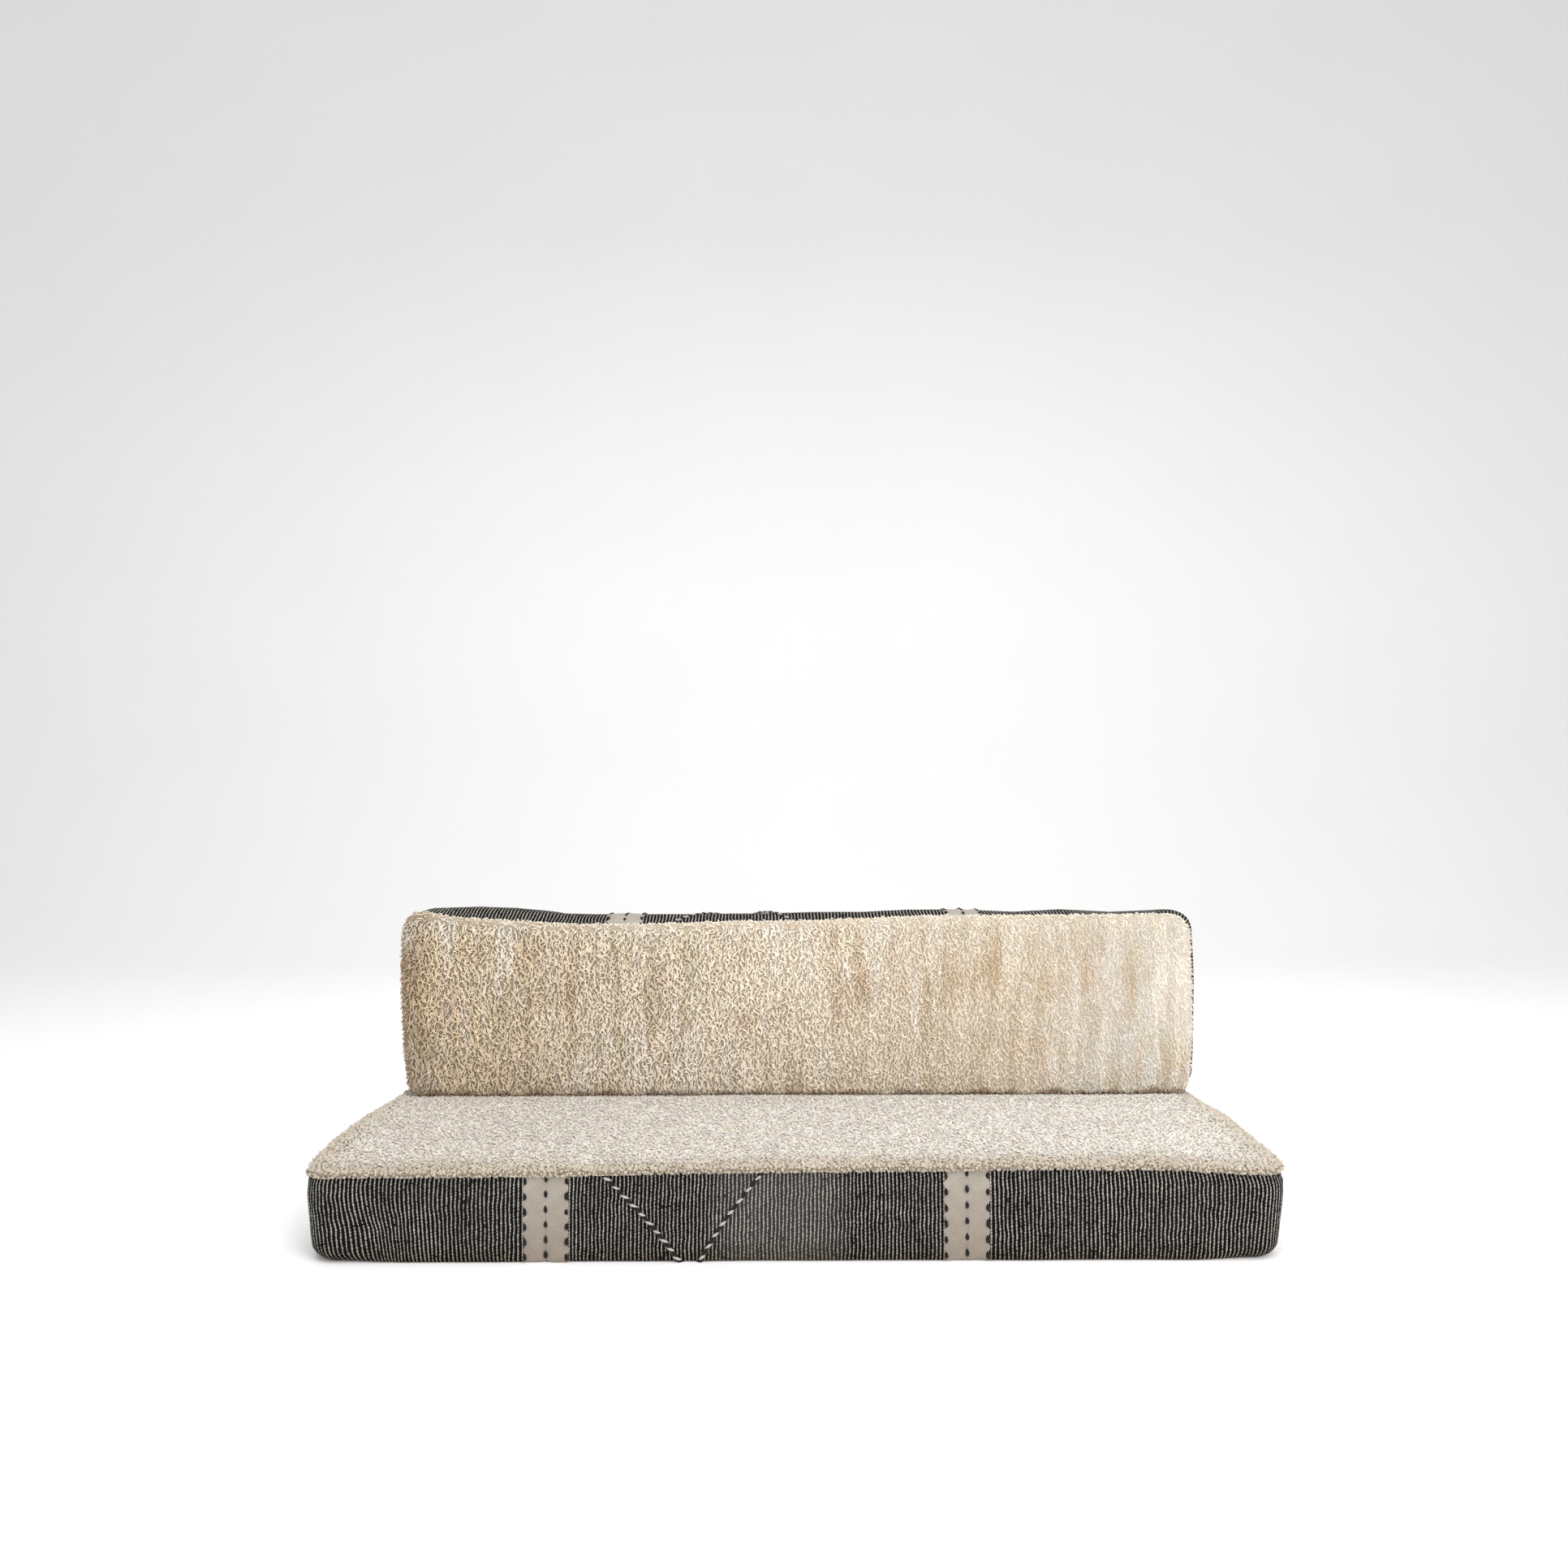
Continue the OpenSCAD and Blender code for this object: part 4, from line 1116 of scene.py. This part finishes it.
# Near the rim the seat's locks take a darker brown tone and darker roots: painted shade between the nubs of
# the front edge.
grow(seat, seat_ground, 4, {
    "growth": (kind > 0) * (1 - 0.45 * under) * (1 - 0.28 * (1 - near)),
    "trodden": np.maximum(under, (kind == 1) * 0.15),
    "rim": near * (1 - under), "comb": combed(seat_ground, (0.18, -0.9, -0.3), 0.6),
}, 4, lock_material("seat wool", seat_pile_tone, (0.93, 0.96), 0.18, tone(181, 169, 151), 0.8, 0.5), {
    "Gap": 0.0042, "Density": 130000.0, "Girth": 0.0026, "Fuller": 0.6, "Curl": 0.0014, "Order": 0.45,
    "Flow": 1.0, "Sag": 0.0, "Lowest": 0.1, "Reach": (0.005, 0.009, 0), "Spring": (0.0032, 0.0055, 0),
    "Seed": 5})

settled, kind, near = back["settle"](back_ground[0]), back_ground[2], back_ground[3]
foot = clipped(-settled[:, 2], -0.225, 0.02) * 0.6
top = clipped(settled[:, 2], 0.55, 0.05)
brushed = 0.8 * clipped(settled[:, 0], -0.3, 1.1)
grow(back, back_ground, 4, {
    "growth": (kind > 0) * 1.0, "trodden": np.maximum(np.maximum(foot, (kind == 1) * 0.75), brushed),
    "rim": near * top, "comb": combed(back_ground, (0, 0, -1), 0.7),
}, 5, lock_material("back wool", back_pile_tone, (0.44, 1.0), 0.2, tone(214, 208, 197), 0.6, 0.0), {
    "Gap": 0.0045, "Density": 95000.0, "Girth": 0.0026, "Fuller": 0.0, "Curl": 0.0030, "Order": 0.55,
    "Flow": 1.6, "Sag": 0.003, "Lowest": 0.1930, "Reach": (0.008, 0.015, 0), "Spring": (0.0045, 0.0080, 0),
    "Seed": 9})


# Canvas of each rear: plain cotton, in an upper and a lower strip. Their edges are turned under
# along the zip and sewn twice, and the zip's teeth show in the slot between them. A strip
# of the same canvas closes the bottom of the back cushion.
canvas_t, skin_in = 0.0030, 0.0006
seat_zip_z = 0.072
back_zip_y = back_mid_z - 0.294722
slot_half, slot_closed, slot_reach, slot_ease = 0.0080, 0.0003, 0.852, 0.006
hem_rows, hem_rise = (0.0, 0.0008, 0.0098, 0.0112), 0.0009
base_gap = 0.0003

canvas, tree, shader = new_material("cotton canvas", 0.9, 0.15)
place = object_place(tree)
x, y, z = place.parts()
weave = x.wave(0.0017) * (z + y * 0.7).wave(0.0017) + place.noise(160.0, 3.0) * 1.6
faded = blend(tree, place.noise(6.0, 4.0), tone(186, 172, 148), tone(205, 193, 170))
dress(shader, faded * weave.mapped(-1.0, 2.4, 0.80, 1.05), 0.45, 0.0005, weave)


def zip_edge(x):
    """Half the opening left for the zip, along it: the two strips meet beyond its ends."""
    return slot_closed + (slot_half - slot_closed) * softened(clipped(-np.abs(x), -slot_reach, slot_ease))


def strip_rows(reach, rows):
    """Ways in from a sewn edge to the far edge of a strip, closer together over the hem."""
    share = np.linspace(0, 1, rows)[1:]
    hem = np.array(hem_rows)
    return np.concatenate([np.broadcast_to(hem, reach.shape + hem.shape),
                           hem[-1] + share * (reach[..., None] - hem[-1])], axis=-1)


def strip_cloth(name, points, out, hemmed, turned, seed):
    """Canvas from a grid of its outer face, whose rows start at the sewn edge, turned over or not."""
    x, z = points[..., 0], points[..., 2]
    rows = np.arange(points.shape[1])
    rise = np.where((rows > 0) & (rows < 3), hem_rise, 0.0) if hemmed else 0 * rows
    rise = rise + 0.0009 * soft_noise(x / 0.09, z / 0.05 + x / 0.3, seed) * np.clip(rows / 8, 0, 1)
    outer = points + out * rise[..., None]
    outer[..., 2] = np.maximum(outer[..., 2], floor_gap)
    mesh = cloth_mesh(name, outer, points - out * (canvas_t - skin_in))
    if turned:
        mesh.flip_normals()
    return mesh


def side_strip(cushion, name, upper, parting, seed):
    """Strip on the straight far side of a cushion, above or below its parting for the zip."""
    runs = runs_of(cushion)
    along = np.linspace(runs[:7].sum(), runs.sum() - 1e-6, 161)
    x = runs[7] / 2 - (along - runs[:7].sum())
    h = cushion["border"]
    reach = h - edge_r + edge_r * math.pi / 2
    if parting is None:
        down = np.repeat(np.linspace(seam_gap, reach, 30)[None], len(along), 0)
    elif upper:
        edge = h - parting - zip_edge(x)
        down = edge[:, None] - strip_rows(edge - seam_gap, 12)
    else:
        edge = h - parting + zip_edge(x)
        down = edge[:, None] + strip_rows(reach - edge, 14)
    points, out = on_side(cushion, np.repeat(along[:, None], down.shape[1], 1), down)
    return strip_cloth(name, points, -out if upper else out, parting is not None, upper, seed)


def rear_strip(cushion, name, upper, seed):
    """Strip over the flat rear of the back cushion, above or below its zip."""
    lid = lid_at(cushion, edge_r + base_gap)
    half = zip_edge(lid[:, lid.shape[1] // 2, 0])
    if upper:
        edge, end = back_zip_y - half, lid[:, 0, 1]
        ways = edge[:, None] - strip_rows(edge - end, 22)
    else:
        edge, end = back_zip_y + half, lid[:, -1, 1]
        ways = edge[:, None] + strip_rows(end - edge, 10)
    flat = np.stack([np.interp(ways[i], lid[i, :, 1], lid[i, :, 0]) for i in range(len(lid))])
    points = cushion["settle"](np.stack([flat, ways, np.zeros_like(ways)], -1))
    return strip_cloth(name, points, np.broadcast_to([0.0, 1.0, 0.0], points.shape), True, upper, seed)


seat_far, back_far = runs_of(seat)[7], runs_of(back)[7]
for name, cushion, cut, given, flat in (
    ("seat_rear_upper", seat, side_strip, (True, seat_zip_z, 201), (seat_far, 0.108)),
    ("seat_rear_lower", seat, side_strip, (False, seat_zip_z, 205), (seat_far, 0.083)),
    ("back_rear_upper", back, rear_strip, (True, 211), (1.940, 0.318)),
    ("back_rear_lower", back, rear_strip, (False, 215), (1.940, 0.062)),
    ("back_bottom_canvas", back, side_strip, (False, None, 221), (back_far, 0.182)),
):
    piece = new_piece(f"{name}_cloth", cut(cushion, name, *given), canvas)
    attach(piece, cushion["name"])
    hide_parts(name)


# Base of the seat: thick needled wool felt, so that the cushion grips the floor.
felt_t, felt_skin = 0.0055, 0.0005
felt, tree, shader = new_material("wool felt", 0.95, 0.4)
place = object_place(tree)
hairs = place.noise(320.0, 4.0)
marl = blend(tree, (hairs + place.noise(30.0, 4.0)) * 0.5, tone(92, 84, 76), tone(158, 148, 136))
dress(shader, marl, 0.6, 0.0012, hairs)

low = lid_at(seat, edge_r + base_gap)
points = np.dstack([low, np.zeros(low.shape[:2])])
inner = seat["settle"](points + (0, 0, felt_t - felt_skin))
piece = new_piece("seat_felt", cloth_mesh("seat_felt", seat["settle"](points), inner), felt)
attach(piece, "seat")
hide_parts("seat_base_felt")


# Fillings: each cushion has a foam block wrapped in wadding, in a calico case of its own that
# keeps the filling together when the cover is off to be washed.
case_in, case_t, wadding_t, foam_corner_r, foam_ease, layer_gap = 0.0059, 0.001, 0.022, 0.020, 0.003, 0.0003


def filling(cushion, name, inset, seed):
    """Closed soft form that fills a cushion's cover, at a distance in from the cover's outside."""
    h = cushion["border"]
    top = h - layer_gap - (inset - case_in)
    r = edge_r - inset
    turn = np.linspace(0.12, math.pi / 2, 5)
    profile = [(edge_r, inset)]
    profile += [(edge_r - r * math.sin(a), edge_r - r * math.cos(a)) for a in turn]
    profile += [(inset, shoulder * h), (inset + 0.35 * seam_in, (1 + shoulder) / 2 * h),
                (inset + seam_in - 0.001, top - 0.004), (inset + seam_in + 0.002, top - 0.0008),
                (inset + seam_in + 0.012, top)]
    points, faces, kind, _ = pad(cushion, profile, 0.0)
    x, y = points[:, 0], points[:, 1]
    dent = 0.0012 * (1 + soft_noise(x / 0.12, y / 0.1 + points[:, 2] / 0.05, seed))
    points[:, 2] += dent * np.choose(kind.astype(int), [1, 0, -1])
    return new_mesh(name, cushion["settle"](points), faces)


def foam_block(cushion, name):
    """The block, with its corners cut round and its long edges eased."""
    inset = case_in + case_t + layer_gap + wadding_t
    a = cushion["length"] / 2 - inset
    b = cushion["width"] / 2 - inset - cushion["draw"]
    low, high = inset, cushion["border"] - layer_gap - (inset - case_in)
    r = foam_corner_r
    ring = [
        (sx * (a - r) + r * math.cos(q), sy * (b - r) + r * math.sin(q))
        for sx, sy, start in ((1, 1, 0), (-1, 1, 90), (-1, -1, 180), (1, -1, 270))
        for q in np.radians(start + np.linspace(0, 90, 9))
    ]
    slant = 0.3 * foam_ease
    levels = [(foam_ease, low), (slant, low + slant), (0.0, low + foam_ease),
              (0.0, high - foam_ease), (slant, high - slant), (foam_ease, high)]
    points = [(x * (1 - ease / a), y * (1 - ease / b), z) for ease, z in levels for x, y in ring]
    n, last = len(ring), len(points) - len(ring)
    faces = [tuple(range(n))[::-1]]
    for k in range(0, last, n):
        faces += [(k + i, k + (i + 1) % n, k + n + (i + 1) % n, k + n + i) for i in range(n)]
    faces.append(tuple(range(last, last + n)))
    return new_mesh(name, cushion["settle"](np.array(points)), faces, False)


calico, tree, shader = new_material("unbleached calico", 0.9, 0.15)
place = object_place(tree)
threads = [way.wave(0.0011) for way in place.parts()]
husk = place.noise(210.0, 3.0).eased(0.66, 0.72, top=0.5)
cotton = blend(tree, husk, tone(228, 218, 196), tone(168, 146, 112))
dress(shader, cotton, 0.35, 0.0003, threads[0] * threads[1] + threads[1] * threads[2])

wadding, tree, shader = new_material("polyester wadding", 0.95, 0.5)
fluff = object_place(tree).noise(60.0, 6.0, 1.5)
dress(shader, blend(tree, fluff, tone(222, 222, 218), tone(246, 246, 242)), 0.8, 0.003, fluff)

foam, tree, shader = new_material("upholstery foam", 0.95, 0.1)
place = object_place(tree)
cells = place.cells(620.0)
block_tone = blend(tree, place.noise(5.0, 3.0), tone(226, 212, 160), tone(236, 227, 186))
dress(shader, block_tone * cells.mapped(0.0, 0.5, 0.72, 1.0), 0.6, 0.0006, cells)

for cushion, seed in ((seat, 301), (back, 331)):
    name = cushion["name"]
    for part, mesh, material, slot, fill in (
        ("inner_case", filling(cushion, f"{name}_calico_case", case_in, seed), calico, "calico", 0.9),
        ("wadding", filling(cushion, f"{name}_wadding_wrap", case_in + case_t + layer_gap, seed), wadding,
         "wadding", 0.8),
        ("foam_core", foam_block(cushion, f"{name}_foam_block"), foam, "foam", 1.0),
    ):
        piece = new_piece(mesh.name, mesh, material)
        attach(piece, name)
        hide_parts(f"{name}_{part}")


# Zips: brass teeth, stops, sliders and pulls, dulled by handling, on black woven tapes. Their
# solids have the real shapes, so they stay and get their metal and cloth here.
brass, tree, shader = new_material("aged brass", 0.38)
shader.inputs["Metallic"].default_value = 1.0
shader.inputs["Specular IOR Level"].default_value = 0.5
place = object_place(tree)
tarnish, rubbed = place.noise(90.0, 4.0), place.noise(900.0, distortion=0.6)
dull = (tarnish + rubbed * 0.4).mapped(0.3, 1.1, 0.55, 0.26)
tree.links.new(dull.socket, shader.inputs["Roughness"])
dress(shader, blend(tree, tarnish, tone(156, 118, 62), tone(212, 172, 104)), 0.12, 0.0002, rubbed)

tape, tree, shader = new_material("zip tape", 0.8, 0.2)
x, _, z = object_place(tree).parts()
ribs = z.wave(0.0013) + x.wave(0.0016) * 0.4
dress(shader, blend(tree, ribs.mapped(-1.4, 1.4), tone(14, 14, 15), tone(44, 43, 44)), 0.5, 0.0003, ribs)

for cushion in ("seat", "back"):
    for part in ("teeth", "top_stops", "bottom_stop", "slider", "pull"):
        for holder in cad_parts[f"{cushion}_zip_{part}"].material_slots:
            holder.material = brass
    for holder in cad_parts[f"{cushion}_zip_tapes"].material_slots:
        holder.material = tape
